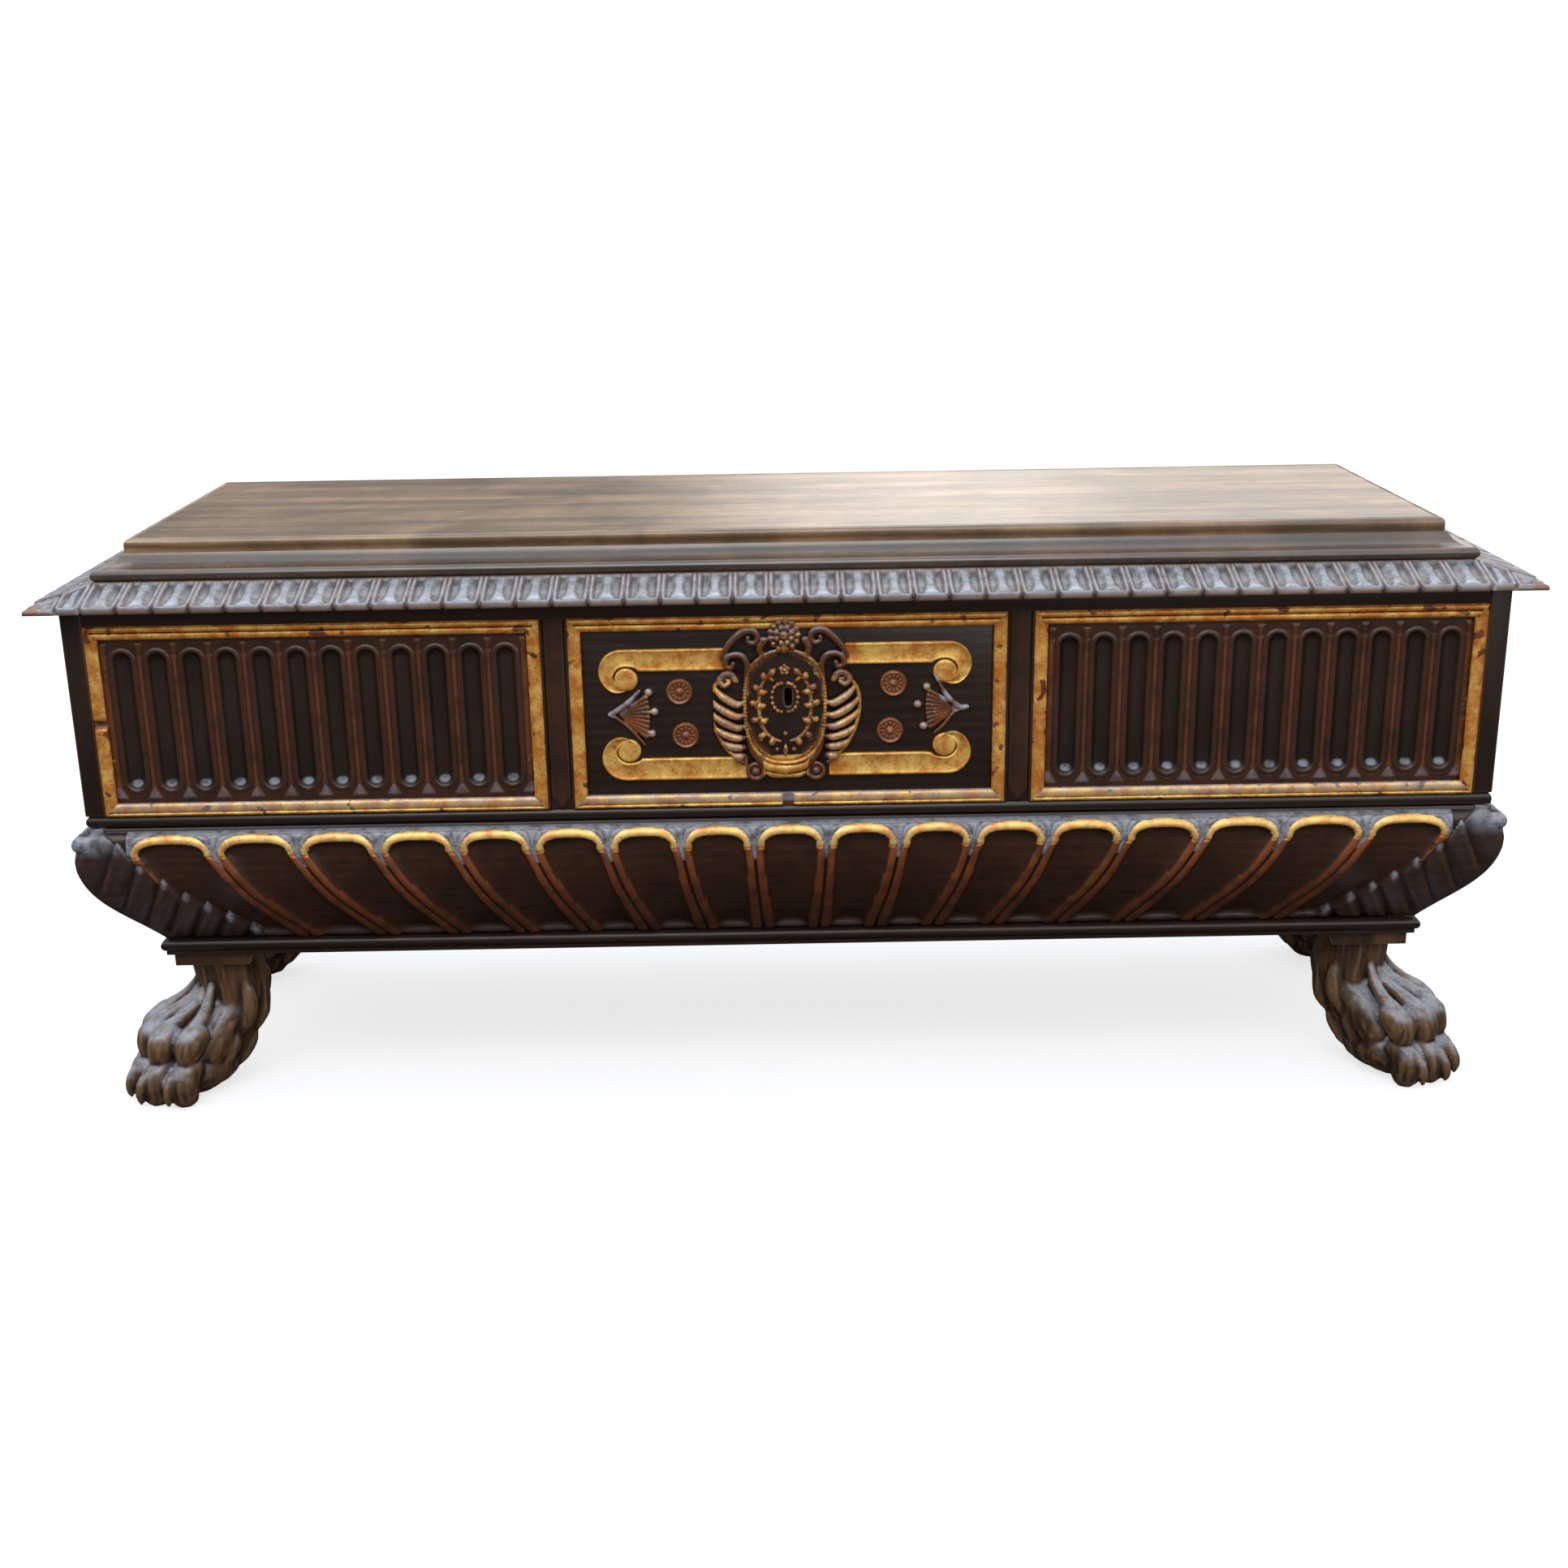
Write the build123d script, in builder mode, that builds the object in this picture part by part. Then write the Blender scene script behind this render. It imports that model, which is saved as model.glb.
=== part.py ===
"""Cassone: a long walnut chest with a gadrooned belly, paw feet and a stepped lid.

X runs along the chest, Y from its front to its back and Z up. The origin lies on the
floor, under the middle of the outer box. All sizes are in millimetres.
"""
from build123d import *
import math
import os

os.makedirs("parts", exist_ok=True)

# ------------------------------------------------------------------ driving sizes
# Case: boards, with posts, rails, stiles and mouldings laid on their outer faces
case_length = 1700.0          # over the corner posts
case_depth = 504.0            # front face to back face
case_height = 270.0           # from the belly boards up to the lid
board = 22.0                  # front, side and back boards
facing = 12.0                 # rails, stiles and mouldings laid on the boards
post_face = 25.0              # face of a corner post, seen from the front
mid_stile_face = 32.0         # face of the stile between two panels
mid_stile_round = 5.0         # rounding of its two long edges
centre_bay = 518.0            # width of the middle gilded frame
waist_height = 15.0           # round moulding under the panels
waist_round = 5.0             # how far that moulding is rounded back
frieze_height = 21.0          # plain rail over the panels

# Gilded mouldings and the panels inside them
gilt_width = 16.0
gilt_proud = 3.0              # how far the moulding stands before the rails
gilt_hollow_width = 5.0       # hollow between its two beads
gilt_hollow_depth = 3.0
fluted_board = 10.0           # thickness of a fluted panel
flute_pitch = 41.0
flute_width = 30.0
flute_depth = 6.0
flute_land = 8.0              # plain wood over and under each flute
centre_board = 8.0            # thickness of the middle panel

# Ornament of the middle panel, measured from the middle of that panel
strap_thickness = 4.0
strap_width = 29.0
strap_rise = 68.0             # height of a strap's middle line over the panel's middle
strap_reach = 196.0           # from the middle to the eye of a strap's scroll
strap_root = 60.0             # where a strap comes out from under the cartouche
scroll_radius = 23.0
rosette_radius = 16.0
rosette_thickness = 5.0
rosette_hollow = 12.0         # outer radius of the hollow ring around the boss
rosette_hollow_depth = 2.5
rosette_boss = 5.0
rosette_reach = 124.0
rosette_rise = 29.0
palmette_tip = 213.0
palmette_root = 169.0
palmette_bow = 5.0            # how far its root bows out
palmette_hollow = 0.42        # where its hollow edges pass, from root to tip and from middle to end
palmette_half_height = 27.0
palmette_thickness = 6.0
pearl_radius = 5.0
pearl_reach = 160.0
pearl_lead = 5.0              # how much nearer to the middle the middle pearl stands
pearl_spacing = 24.0

# Cartouche
cartouche_width = 178.0       # over the two ribbed wings
cartouche_base = 10.0         # thickness of its ground
cartouche_rim = 17.0          # height of the oval rim over the panel
oval_width = 96.0             # field inside the rim
oval_height = 135.0
oval_rise = 10.0              # of the oval's middle over the middle of the panel
rim_width = 9.0
wing_width = 28.0
wing_height = 52.0
crest_radius = 24.0
crest_lap = 3.0               # how far the crest reaches past the gilded moulding's edge
volute_radius = 13.0
shoulder_reach = 44.0         # of the two upper scrolls
shoulder_rise = 71.0
shoulder_width = 30.0
shoulder_height = 22.0
foot_reach = 36.0             # of the two lower scrolls
foot_fall = 73.0

# Keyhole
keyhole_width = 9.0
keyhole_height = 22.0
keyhole_rise = 18.0           # of its middle over the middle of the panel

# Belly: boards with a swelling profile, cut with a fan of hollow channels
belly_height = 169.0
belly_swell = 16.5            # how far it swells out past the case
swell_drop = 26.0             # from the top of the belly down to its widest line
belly_taper = 60.0            # how far its foot stands in from the case
belly_foot_angle = 36.0       # slope of the outer face at the foot, from upright
belly_foot_thickness = 28.0
crown_swell = 0.9             # the curve over the widest line starts this share of the swell out
crown_drop = 0.1              # and this share of the drop down
crown_hold = 0.5              # and runs upright from this share of the drop
fall_hold = 0.45              # share of the fall over which the lower curve keeps its direction
channel_depth = 6.0
channel_rim = 10.0            # half of the raised rim between two channels
channel_top = 0.07            # where a channel's arch begins, as a share of the height
channel_spring = 0.24         # where the arch meets the straight sides
channel_foot = 0.94
fan_pitch_top = 88.0          # channel spacing at the top of the belly
fan_pitch_foot = 70.5         # and at its foot
fan_growth_top = 0.085        # widening towards the corners, with the cube of the count
fan_growth_foot = 0.19
side_pitch_top = 82.0         # spacing on the two short sides
side_pitch_foot = 66.0
corner_leaf = 48.0            # uncut wood left for the leaf that covers each corner

# Base frame, blocks and paws
base_height = 21.0
base_fillet = 5.0             # plain step under the base moulding's round
base_inset = 53.0             # from the case's face to the base's round
base_round = 7.0              # how far the base moulding rounds back
base_width = 77.0
floor_thickness = 18.0
block_height = 18.0
block_size = 94.0
block_inset = 65.0            # from the case's face to the block
rear_block_inset = 10.0       # from the case's back to the rear blocks
bracket_size = 16.0           # of the hollow bracket on a block's inner side
bracket_land = 2.0            # flat edge left at both ends of its hollow
paw_height = 174.0
paw_width = 112.0
toe_count = 4
toe_radius = 19.0
toe_sink = 1.0                # taken off under each toe by the floor
toe_reach = 115.0             # from the ankle's middle to the middle toes' centres
toe_spacing = 29.0
toe_curve = 13.0              # how much further back the outer toes stand
knuckle_back = 30.0           # from a toe's centre back to its knuckle
knuckle_rise = 42.0
front_paw_turn = 40.0         # turned out from the long side, in degrees
rear_paw_turn = 0.0
# Levels of a paw from its sole to its ankle. Each has its height as a share of the paw's
# height, its heel's and instep's distance from the ankle's middle as shares of the toes'
# reach, and its half width as a share of the paw's width.
paw_levels = (
    (0.0, -0.04, 0.95, 0.45),
    (0.2, 0.06, 0.97, 0.48),
    (0.42, 0.3, 0.8, 0.46),
    (0.68, 0.48, 0.46, 0.42),
    (0.87, 0.39, 0.39, 0.39),
    (1.0, 0.4, 0.4, 0.41),
)

# Lid: a carved edge, a moulded step and a top board
lid_overhang = 31.0
lid_tip = 6.0                 # thickness of the carved edge at its tip
lid_edge_height = 25.5
lid_edge_width = 110.0
lid_slope = 62.0              # width of the sloping carved band
lobe_pitch = 41.8
lobe_notch = 4.0
lid_corner = 60.0             # left at least for the leaf on each corner of the band
step_height = 28.5
step_round = 13.5             # height of the round at the foot of the step
step_round_bow = 4.5          # how far that round bows out
step_inset = 31.0             # from the case's face to that round
step_cove = 26.0              # depth of the cove over it
cove_share = 0.68             # the cove's middle lies this share of its depth in
cove_rise = 0.3               # and this share of its height up
step_width = 64.0
top_thickness = 16.0
top_inset = 64.0              # from the case's face to the top board
top_round = 9.0
lid_rail = 25.0               # thickness of the rail along the back of the lid
batten_width = 60.0
batten_thickness = 18.0
batten_spacing = 500.0
batten_count = 3

# Hinges
hinge_inset = 290.0           # from the case's end to the middle of a hinge
hinge_width = 70.0
hinge_plate = 2.5
hinge_knuckle = 6.0
hinge_pin = 3.0
hinge_pin_head = 4.5
hinge_pin_head_height = 3.0
hinge_case_leaf = 78.0        # length of the leaf on the case
hinge_lid_leaf = 46.0         # length of the leaf on the lid
hinge_knuckles = 5
screw_radius = 2.0
screw_length = 14.0
screw_head = 4.2
screw_head_height = 2.0
screw_head_round = 1.0
screw_pitch_x = 44.0
screw_pitch_case = 36.0
screw_pitch_lid = 24.0

# Lock
lock_width = 200.0
lock_below_key = 22.0         # from the keyhole's middle down to the end of the plate
lock_plate_thickness = 2.5
lock_top_margin = 8.0         # from the top of the case down to the plate
lock_cover_margin = 12.0      # plate left bare around the cover, for its screws
lock_cover_depth = 24.0
lock_cover_wall = 2.0
bolt_height = 10.0
bolt_thickness = 5.0
bolt_setback = 10.0           # from the staple's middle to the tip of the drawn bolt
bolt_throw = 20.0
bolt_lap = 1.0                # of the bolt past its far guide, when it is thrown
bolt_drop = 32.0              # from the top of the case down to the bolt's middle
bolt_leg = 8.0                # width of the leg that reaches down to the key
talon_gap = 8.0               # from the keyhole's middle up to the talon
talon_width = 12.0
talon_depth = 4.0
guide_width = 8.0
guide_wall = 5.0
staple_thickness = 5.0
staple_depth = 14.0
staple_drop = 46.0
staple_round = 4.5
staple_eye_width = 9.0
staple_eye_height = 16.0
staple_plate = 3.0
staple_plate_width = 60.0
staple_plate_depth = 34.0
staple_slot = 11.0            # slot for the staple in the lock's cover

# Clearances
hinge_gap = 0.4               # between knuckles, and from them to the wood
pin_gap = 0.2                 # around the hinge pin
bolt_gap = 0.3                # around the bolt in its guides
screw_gap = 0.1               # around a screw's shank
screw_tip_gap = 1.0           # left in its hole past a screw's tip
leaf_gap = 0.6               # between a hinge leaf and the other leaf's knuckles
staple_gap = 4.0              # from the lock plate to the staple
crest_gap = 0.5               # between the crest and the gilded moulding under it
bolt_play = 2.0               # from the bolt's leg to a guide, at either end of its travel
mitre_gap = 2.0               # left between the left and right runs' ends behind the mitres

# ------------------------------------------------------------------ derived places
half_length = case_length / 2
wall = board + facing
hinge_spacing = case_length - 2 * hinge_inset
hinge_reach = 2 * hinge_knuckle + hinge_gap
y_tip = -(lid_overhang + case_depth + hinge_reach) / 2
y_front = y_tip + lid_overhang
y_back = y_front + case_depth
y_middle = (y_front + y_back) / 2

block_bottom = paw_height
base_bottom = block_bottom + block_height
belly_bottom = base_bottom + base_height
case_bottom = belly_bottom + belly_height
case_top = case_bottom + case_height
step_bottom = case_top + lid_edge_height
top_bottom = step_bottom + step_height

bay_bottom = case_bottom + waist_height
bay_top = case_top - frieze_height
bay_height = bay_top - bay_bottom
bay_middle = (bay_bottom + bay_top) / 2
panel_height = bay_height - 2 * gilt_width
outer_bay = half_length - post_face - mid_stile_face - centre_bay / 2
outer_bay_middle = half_length - post_face - outer_bay / 2
mid_stile_middle = (centre_bay + mid_stile_face) / 2
side_bay = case_depth - 2 * wall
centre_face = facing - centre_board

key_height = bay_middle + keyhole_rise
lock_height = case_top - lock_top_margin - key_height + lock_below_key


def save(part, name):
    """Label a finished piece and write it under its own name."""
    part.label = name
    export_step(part, "parts/" + name + ".step")


def outward_plane(side, depth=0.0):
    """Plane that faces out of one side, a depth behind the case's face."""
    if side == "front":
        return Plane(origin=(0, y_front + depth, 0), x_dir=(1, 0, 0), z_dir=(0, -1, 0))
    if side == "left":
        return Plane(origin=(depth - half_length, y_middle, 0), x_dir=(0, -1, 0), z_dir=(-1, 0, 0))
    return Plane(origin=(half_length - depth, y_middle, 0), x_dir=(0, 1, 0), z_dir=(1, 0, 0))


def section_plane(side):
    """Plane across one side, where x is the depth behind the case's face and y the height."""
    if side == "front":
        return Plane(origin=(0, y_front, 0), x_dir=(0, 1, 0), z_dir=(1, 0, 0))
    if side == "left":
        return Plane(origin=(-half_length, 0, 0), x_dir=(1, 0, 0), z_dir=(0, -1, 0))
    return Plane(origin=(half_length, 0, 0), x_dir=(-1, 0, 0), z_dir=(0, 1, 0))


def side_outline(side):
    """Plan of the space that one side's pieces may fill, mitred at the front corners."""
    out = lid_overhang + belly_swell
    deep = (case_depth - mitre_gap) / 2
    if side == "front":
        return [
            (-half_length - out, y_front - out),
            (half_length + out, y_front - out),
            (half_length - deep, y_front + deep),
            (deep - half_length, y_front + deep),
        ]
    turn = -1 if side == "left" else 1
    return [
        (turn * (half_length + out), y_front - out),
        (turn * (half_length - deep), y_front + deep),
        (turn * (half_length - deep), y_back),
        (turn * (half_length + out), y_back),
    ]


def run_along(side, profile):
    """Run a profile along one side of the chest, mitred at the front corners."""
    with BuildPart() as run:
        with BuildSketch(section_plane(side)):
            add(profile.sketch)
        extrude(amount=half_length + case_depth, both=True)
        with BuildSketch(Plane.XY):
            Polygon(*side_outline(side), align=None)
        extrude(amount=top_bottom + top_thickness, mode=Mode.INTERSECT)
    return run.part


def block(x_low, x_high, y_low, y_high, z_low, z_high):
    """A plain board between six planes."""
    with BuildPart() as piece:
        with BuildSketch(Plane.XY.offset(z_low)):
            with Locations(((x_low + x_high) / 2, (y_low + y_high) / 2)):
                Rectangle(x_high - x_low, y_high - y_low)
        extrude(amount=z_high - z_low)
    return piece.part


def gather(*parts):
    """Several separate solids that share one node, touching but not joined."""
    return Compound([solid for part in parts for solid in part.solids()])


SIDES = ("front", "left", "right")
ENDS = {"left": -1, "right": 1}

# ------------------------------------------------------------------ base and feet
with BuildSketch() as base_profile:
    with BuildLine():
        Polyline(
            (base_inset + base_round, belly_bottom),
            (base_inset + base_width, belly_bottom),
            (base_inset + base_width, base_bottom),
            (base_inset + base_fillet, base_bottom),
            (base_inset + base_fillet, base_bottom + base_fillet),
            (base_inset + base_round, base_bottom + base_fillet),
        )
        ThreePointArc(
            (base_inset + base_round, base_bottom + base_fillet),
            (base_inset, (base_bottom + base_fillet + belly_bottom) / 2),
            (base_inset + base_round, belly_bottom),
        )
    make_face()

for side in SIDES:
    save(run_along(side, base_profile), "base_moulding_" + side)

base_inner = half_length - base_inset - base_width
save(
    block(-base_inner, base_inner, y_back - base_width, y_back, base_bottom, belly_bottom),
    "base_rail_back",
)


def paw_part(x, y, turn):
    """A lion's paw under a block, with its toes pointing along the given turn."""
    sole = Plane(
        origin=(x, y, 0),
        x_dir=(math.cos(math.radians(turn)), math.sin(math.radians(turn)), 0),
        z_dir=(0, 0, 1),
    )
    with BuildPart() as paw:
        for height, heel, instep, breadth in paw_levels:
            with BuildSketch(sole.offset(height * paw_height)):
                with Locations(((instep - heel) / 2 * toe_reach, 0)):
                    Ellipse((instep + heel) / 2 * toe_reach, breadth * paw_width)
        loft()
        for number in range(toe_count):
            aside = number - (toe_count - 1) / 2
            reach = toe_reach - toe_curve * (abs(aside) - 0.5)
            toe = (reach, aside * toe_spacing, toe_radius - toe_sink)
            knuckle = (reach - knuckle_back, aside * toe_spacing, toe_radius + knuckle_rise)
            with Locations(sole.location * Location(toe)):
                Sphere(toe_radius)
            with Locations(sole.location * Location(knuckle)):
                Sphere(toe_radius)
        with BuildSketch(sole):
            Circle(2 * toe_reach)
        extrude(amount=-paw_height, mode=Mode.SUBTRACT)
    return paw.part


def foot_block_part(x, y, turn):
    """A square block over a paw, with a hollow bracket towards the middle of the chest."""
    half = block_size / 2
    across = Plane(origin=(x, y, 0), x_dir=(-turn, 0, 0), z_dir=(0, turn, 0))
    reach = half + bracket_size
    foot = base_bottom - bracket_size
    bend = (bracket_size - bracket_land) * math.sqrt(0.5)
    with BuildPart() as foot_block:
        add(block(x - half, x + half, y - half, y + half, block_bottom, base_bottom))
        with BuildSketch(across):
            with BuildLine():
                Polyline(
                    (reach, base_bottom - bracket_land),
                    (reach, base_bottom),
                    (half, base_bottom),
                    (half, foot),
                    (half + bracket_land, foot),
                )
                ThreePointArc(
                    (half + bracket_land, foot),
                    (reach - bend, foot + bend),
                    (reach, base_bottom - bracket_land),
                )
            make_face()
        extrude(amount=half, both=True)
    return foot_block.part


block_middle = block_inset + block_size / 2
feet_y = {
    "front": y_front + block_middle,
    "rear": y_back - rear_block_inset - block_size / 2,
}
for end, turn in ENDS.items():
    foot_x = turn * (half_length - block_middle)
    for row, foot_y in feet_y.items():
        save(foot_block_part(foot_x, foot_y, turn), "foot_block_" + row + "_" + end)
        paw_turn = front_paw_turn if row == "front" else rear_paw_turn
        toe_angle = -paw_turn if end == "right" else 180 + paw_turn
        save(paw_part(foot_x, foot_y, toe_angle), "paw_" + row + "_" + end)

# ------------------------------------------------------------------ belly boards
foot_slope = math.radians(belly_foot_angle)
swell_height = case_bottom - swell_drop


def belly_line(shift):
    """Outer line of the belly's profile, moved a distance inwards."""
    hold = fall_hold * (swell_height - belly_bottom)
    Bezier(
        (shift, case_bottom),
        (shift - crown_swell * belly_swell, case_bottom - crown_drop * swell_drop),
        (shift - belly_swell, case_bottom - crown_hold * swell_drop),
        (shift - belly_swell, swell_height),
    )
    Bezier(
        (shift - belly_swell, swell_height),
        (shift - belly_swell, swell_height - hold),
        (
            shift + belly_taper - hold * math.sin(foot_slope),
            belly_bottom + hold * math.cos(foot_slope),
        ),
        (shift + belly_taper, belly_bottom),
    )


belly_inner_foot = belly_taper + belly_foot_thickness
with BuildSketch() as belly_profile:
    with BuildLine():
        belly_line(0.0)
        Polyline(
            (belly_taper, belly_bottom),
            (belly_inner_foot, belly_bottom),
            (wall, case_bottom),
            (0, case_bottom),
        )
    make_face()

with BuildSketch() as skin_profile:
    with BuildLine():
        belly_line(0.0)
        Line((belly_taper, belly_bottom), (belly_taper + channel_depth, belly_bottom))
        belly_line(channel_depth)
        Line((channel_depth, case_bottom), (0, case_bottom))
    make_face()


def lean(drop):
    """How far the channels have leant at a drop: from 0 where they spring to 1 at the foot."""
    return max(0.0, drop - channel_spring) / (1 - channel_spring)


def front_fan(count, drop):
    """Distance along the front to a channel's edge, at a drop from 0 (top) to 1 (foot)."""
    pitch = fan_pitch_top + (fan_pitch_foot - fan_pitch_top) * lean(drop)
    growth = fan_growth_top + (fan_growth_foot - fan_growth_top) * lean(drop)
    return pitch * count + growth * count**3


def side_fan(count, drop):
    """The same along a short side, evenly spaced."""
    return (side_pitch_top + (side_pitch_foot - side_pitch_top) * lean(drop)) * count


def channels_each_way(fan, half_run):
    """How many channels fit on each side of the middle one."""
    count = 0
    while fan(count + 1.5, 0.0) <= half_run - corner_leaf:
        count += 1
    return count


def channel_cutter(side, fan, half_run):
    """The wood that is carved away: a thin skin of the belly inside each channel."""
    reach = channels_each_way(fan, half_run)
    with BuildPart() as cutter:
        with BuildSketch(section_plane(side)):
            add(skin_profile.sketch)
        extrude(amount=half_length + case_depth, both=True)
        with BuildSketch(outward_plane(side)):
            for number in range(-reach, reach + 1):
                left = [
                    (fan(number - 0.5, drop) + channel_rim, case_bottom - drop * belly_height)
                    for drop in (channel_spring, channel_foot)
                ]
                right = [
                    (fan(number + 0.5, drop) - channel_rim, case_bottom - drop * belly_height)
                    for drop in (channel_spring, channel_foot)
                ]
                crown = (fan(number, channel_top), case_bottom - channel_top * belly_height)
                with BuildLine():
                    Polyline(left[0], left[1], right[1], right[0])
                    ThreePointArc(right[0], crown, left[0])
                make_face()
        extrude(amount=half_length, both=True, mode=Mode.INTERSECT)
    return cutter.part


for side in SIDES:
    fan = front_fan if side == "front" else side_fan
    half_run = half_length if side == "front" else case_depth / 2
    with BuildPart() as belly_board:
        add(run_along(side, belly_profile))
        add(channel_cutter(side, fan, half_run), mode=Mode.SUBTRACT)
    save(belly_board.part, "belly_board_" + side)

with BuildPart() as floor_board:
    with BuildSketch(Plane.XY.offset(belly_bottom)):
        floor_length = case_length - 2 * belly_inner_foot
        floor_depth = case_depth - belly_inner_foot - board
        with Locations((0, y_back - board - floor_depth / 2)):
            Rectangle(floor_length, floor_depth)
    extrude(amount=floor_thickness)
save(floor_board.part, "floor_board")

# ------------------------------------------------------------------ case boards
lock_middle = case_top - lock_top_margin - lock_height / 2
lock_screw_x = lock_width - lock_cover_margin
lock_screw_z = lock_height - lock_cover_margin


def keyhole():
    """The keyhole's outline, at the height of the key."""
    with Locations((0, key_height)):
        SlotOverall(keyhole_height, keyhole_width, rotation=90)


with BuildPart() as front_board:
    with BuildSketch(outward_plane("front", wall)):
        with Locations((0, case_bottom + case_height / 2)):
            Rectangle(case_length - 2 * post_face, case_height)
    extrude(amount=board)
    with BuildSketch(outward_plane("front", wall)):
        keyhole()
    extrude(amount=board, mode=Mode.SUBTRACT)
    with BuildSketch(outward_plane("front", wall)):
        with Locations((0, lock_middle)):
            with GridLocations(lock_screw_x, lock_screw_z, 2, 2):
                Circle(screw_radius + screw_gap)
    extrude(amount=screw_length, mode=Mode.SUBTRACT)
save(front_board.part, "front_board")

for end in ENDS:
    with BuildPart() as side_board:
        with BuildSketch(outward_plane(end, wall)):
            with Locations((0, case_bottom + case_height / 2)):
                Rectangle(side_bay, case_height)
        extrude(amount=board)
    save(side_board.part, "side_board_" + end)

hinge_axis_y = y_back + hinge_knuckle + hinge_gap
hinge_axis_z = case_top
case_leaf_top = hinge_axis_z - hinge_knuckle - leaf_gap
case_leaf_middle = case_leaf_top - hinge_case_leaf / 2
lid_leaf_bottom = hinge_axis_z + hinge_knuckle + leaf_gap
lid_leaf_middle = lid_leaf_bottom + hinge_lid_leaf / 2
back_plane = Plane(origin=(0, y_back, 0), x_dir=(-1, 0, 0), z_dir=(0, 1, 0))


def hinge_holes(height, pitch):
    """Outlines of the screw holes for both hinges, at the height of the leaves' middle."""
    with Locations((0, height)):
        with GridLocations(hinge_spacing, 0, 2, 1):
            with GridLocations(screw_pitch_x, pitch, 2, 2):
                Circle(screw_radius + screw_gap)


with BuildPart() as back_board:
    with BuildSketch(back_plane):
        Polygon(
            (half_length - post_face, case_top),
            (post_face - half_length, case_top),
            (post_face - half_length, case_bottom),
            (wall - half_length, case_bottom),
            (belly_inner_foot - half_length, belly_bottom),
            (half_length - belly_inner_foot, belly_bottom),
            (half_length - wall, case_bottom),
            (half_length - post_face, case_bottom),
            align=None,
        )
    extrude(amount=-board)
    with BuildSketch(back_plane):
        hinge_holes(case_leaf_middle, screw_pitch_case)
    extrude(amount=-screw_length, mode=Mode.SUBTRACT)
save(back_board.part, "back_board")

posts = []
for turn in ENDS.values():
    for row in ("front", "rear"):
        y_low = y_front if row == "front" else y_back - wall
        y_high = y_front + wall if row == "front" else y_back
        outer = turn * half_length
        inner = turn * (half_length - post_face)
        heel = turn * (half_length - facing)
        heel_y = y_low + facing if row == "front" else y_low
        with BuildPart() as post:
            add(block(min(outer, inner), max(outer, inner), y_low, y_high, bay_bottom, case_top))
            add(block(min(heel, inner), max(heel, inner), heel_y, y_high, case_bottom, bay_bottom))
        posts.append(post.part)
save(gather(*posts), "corner_posts")

# ------------------------------------------------------------------ rails, stiles, mouldings
with BuildSketch() as waist_profile:
    with BuildLine():
        Polyline(
            (waist_round, bay_bottom),
            (facing, bay_bottom),
            (facing, case_bottom),
            (waist_round, case_bottom),
        )
        ThreePointArc(
            (waist_round, case_bottom),
            (0, case_bottom + waist_height / 2),
            (waist_round, bay_bottom),
        )
    make_face()
save(gather(*[run_along(side, waist_profile) for side in SIDES]), "waist_moulding")


def frieze_part(side):
    """Plain rail between two corner posts, over the panels."""
    run = case_length - 2 * post_face if side == "front" else side_bay
    with BuildPart() as rail:
        with BuildSketch(outward_plane(side, facing)):
            with Locations((0, case_top - frieze_height / 2)):
                Rectangle(run, frieze_height)
        extrude(amount=facing)
    return rail.part


save(gather(*[frieze_part(side) for side in SIDES]), "frieze_rail")

for end, turn in ENDS.items():
    with BuildPart() as mid_stile:
        with BuildSketch(outward_plane("front", facing)):
            with Locations((turn * mid_stile_middle, bay_middle)):
                Rectangle(mid_stile_face, bay_height)
        extrude(amount=facing)
        fillet(mid_stile.faces().sort_by(Axis.Y)[0].edges().filter_by(Axis.Z), radius=mid_stile_round)
    save(mid_stile.part, "mid_stile_" + end)


def gilt_frame(side, middle, width):
    """A mitred moulding of two beads with a hollow between, around one panel."""
    with BuildPart() as frame:
        with BuildSketch(outward_plane(side, facing)):
            with Locations((middle, bay_middle)):
                Rectangle(width, bay_height)
                Rectangle(width - 2 * gilt_width, panel_height, mode=Mode.SUBTRACT)
        extrude(amount=facing + gilt_proud)
        outer_bead = (gilt_width - gilt_hollow_width) / 2
        inner_bead = outer_bead + gilt_hollow_width
        with BuildSketch(outward_plane(side, -gilt_proud)):
            with Locations((middle, bay_middle)):
                Rectangle(width - 2 * outer_bead, bay_height - 2 * outer_bead)
                Rectangle(width - 2 * inner_bead, bay_height - 2 * inner_bead, mode=Mode.SUBTRACT)
        extrude(amount=-gilt_hollow_depth, mode=Mode.SUBTRACT)
    return frame.part


def fluted_panel(side, middle, width):
    """A panel with a row of upright round-ended flutes."""
    flutes = int((width - flute_width) / flute_pitch) + 1
    with BuildPart() as panel:
        with BuildSketch(outward_plane(side, facing)):
            with Locations((middle, bay_middle)):
                Rectangle(width, panel_height)
        extrude(amount=fluted_board)
        with BuildSketch(outward_plane(side, facing - fluted_board)):
            with Locations((middle, bay_middle)):
                with GridLocations(flute_pitch, 0, flutes, 1):
                    SlotOverall(panel_height - 2 * flute_land, flute_width, rotation=90)
        extrude(amount=-flute_depth, mode=Mode.SUBTRACT)
    return panel.part


BAYS = {
    "front_left": ("front", -outer_bay_middle, outer_bay),
    "front_right": ("front", outer_bay_middle, outer_bay),
    "side_left": ("left", 0.0, side_bay),
    "side_right": ("right", 0.0, side_bay),
}
for bay, (side, middle, width) in BAYS.items():
    save(gilt_frame(side, middle, width), "gilt_moulding_" + bay)
    save(fluted_panel(side, middle, width - 2 * gilt_width), "fluted_panel_" + bay)
save(gilt_frame("front", 0.0, centre_bay), "gilt_moulding_front_centre")

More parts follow.
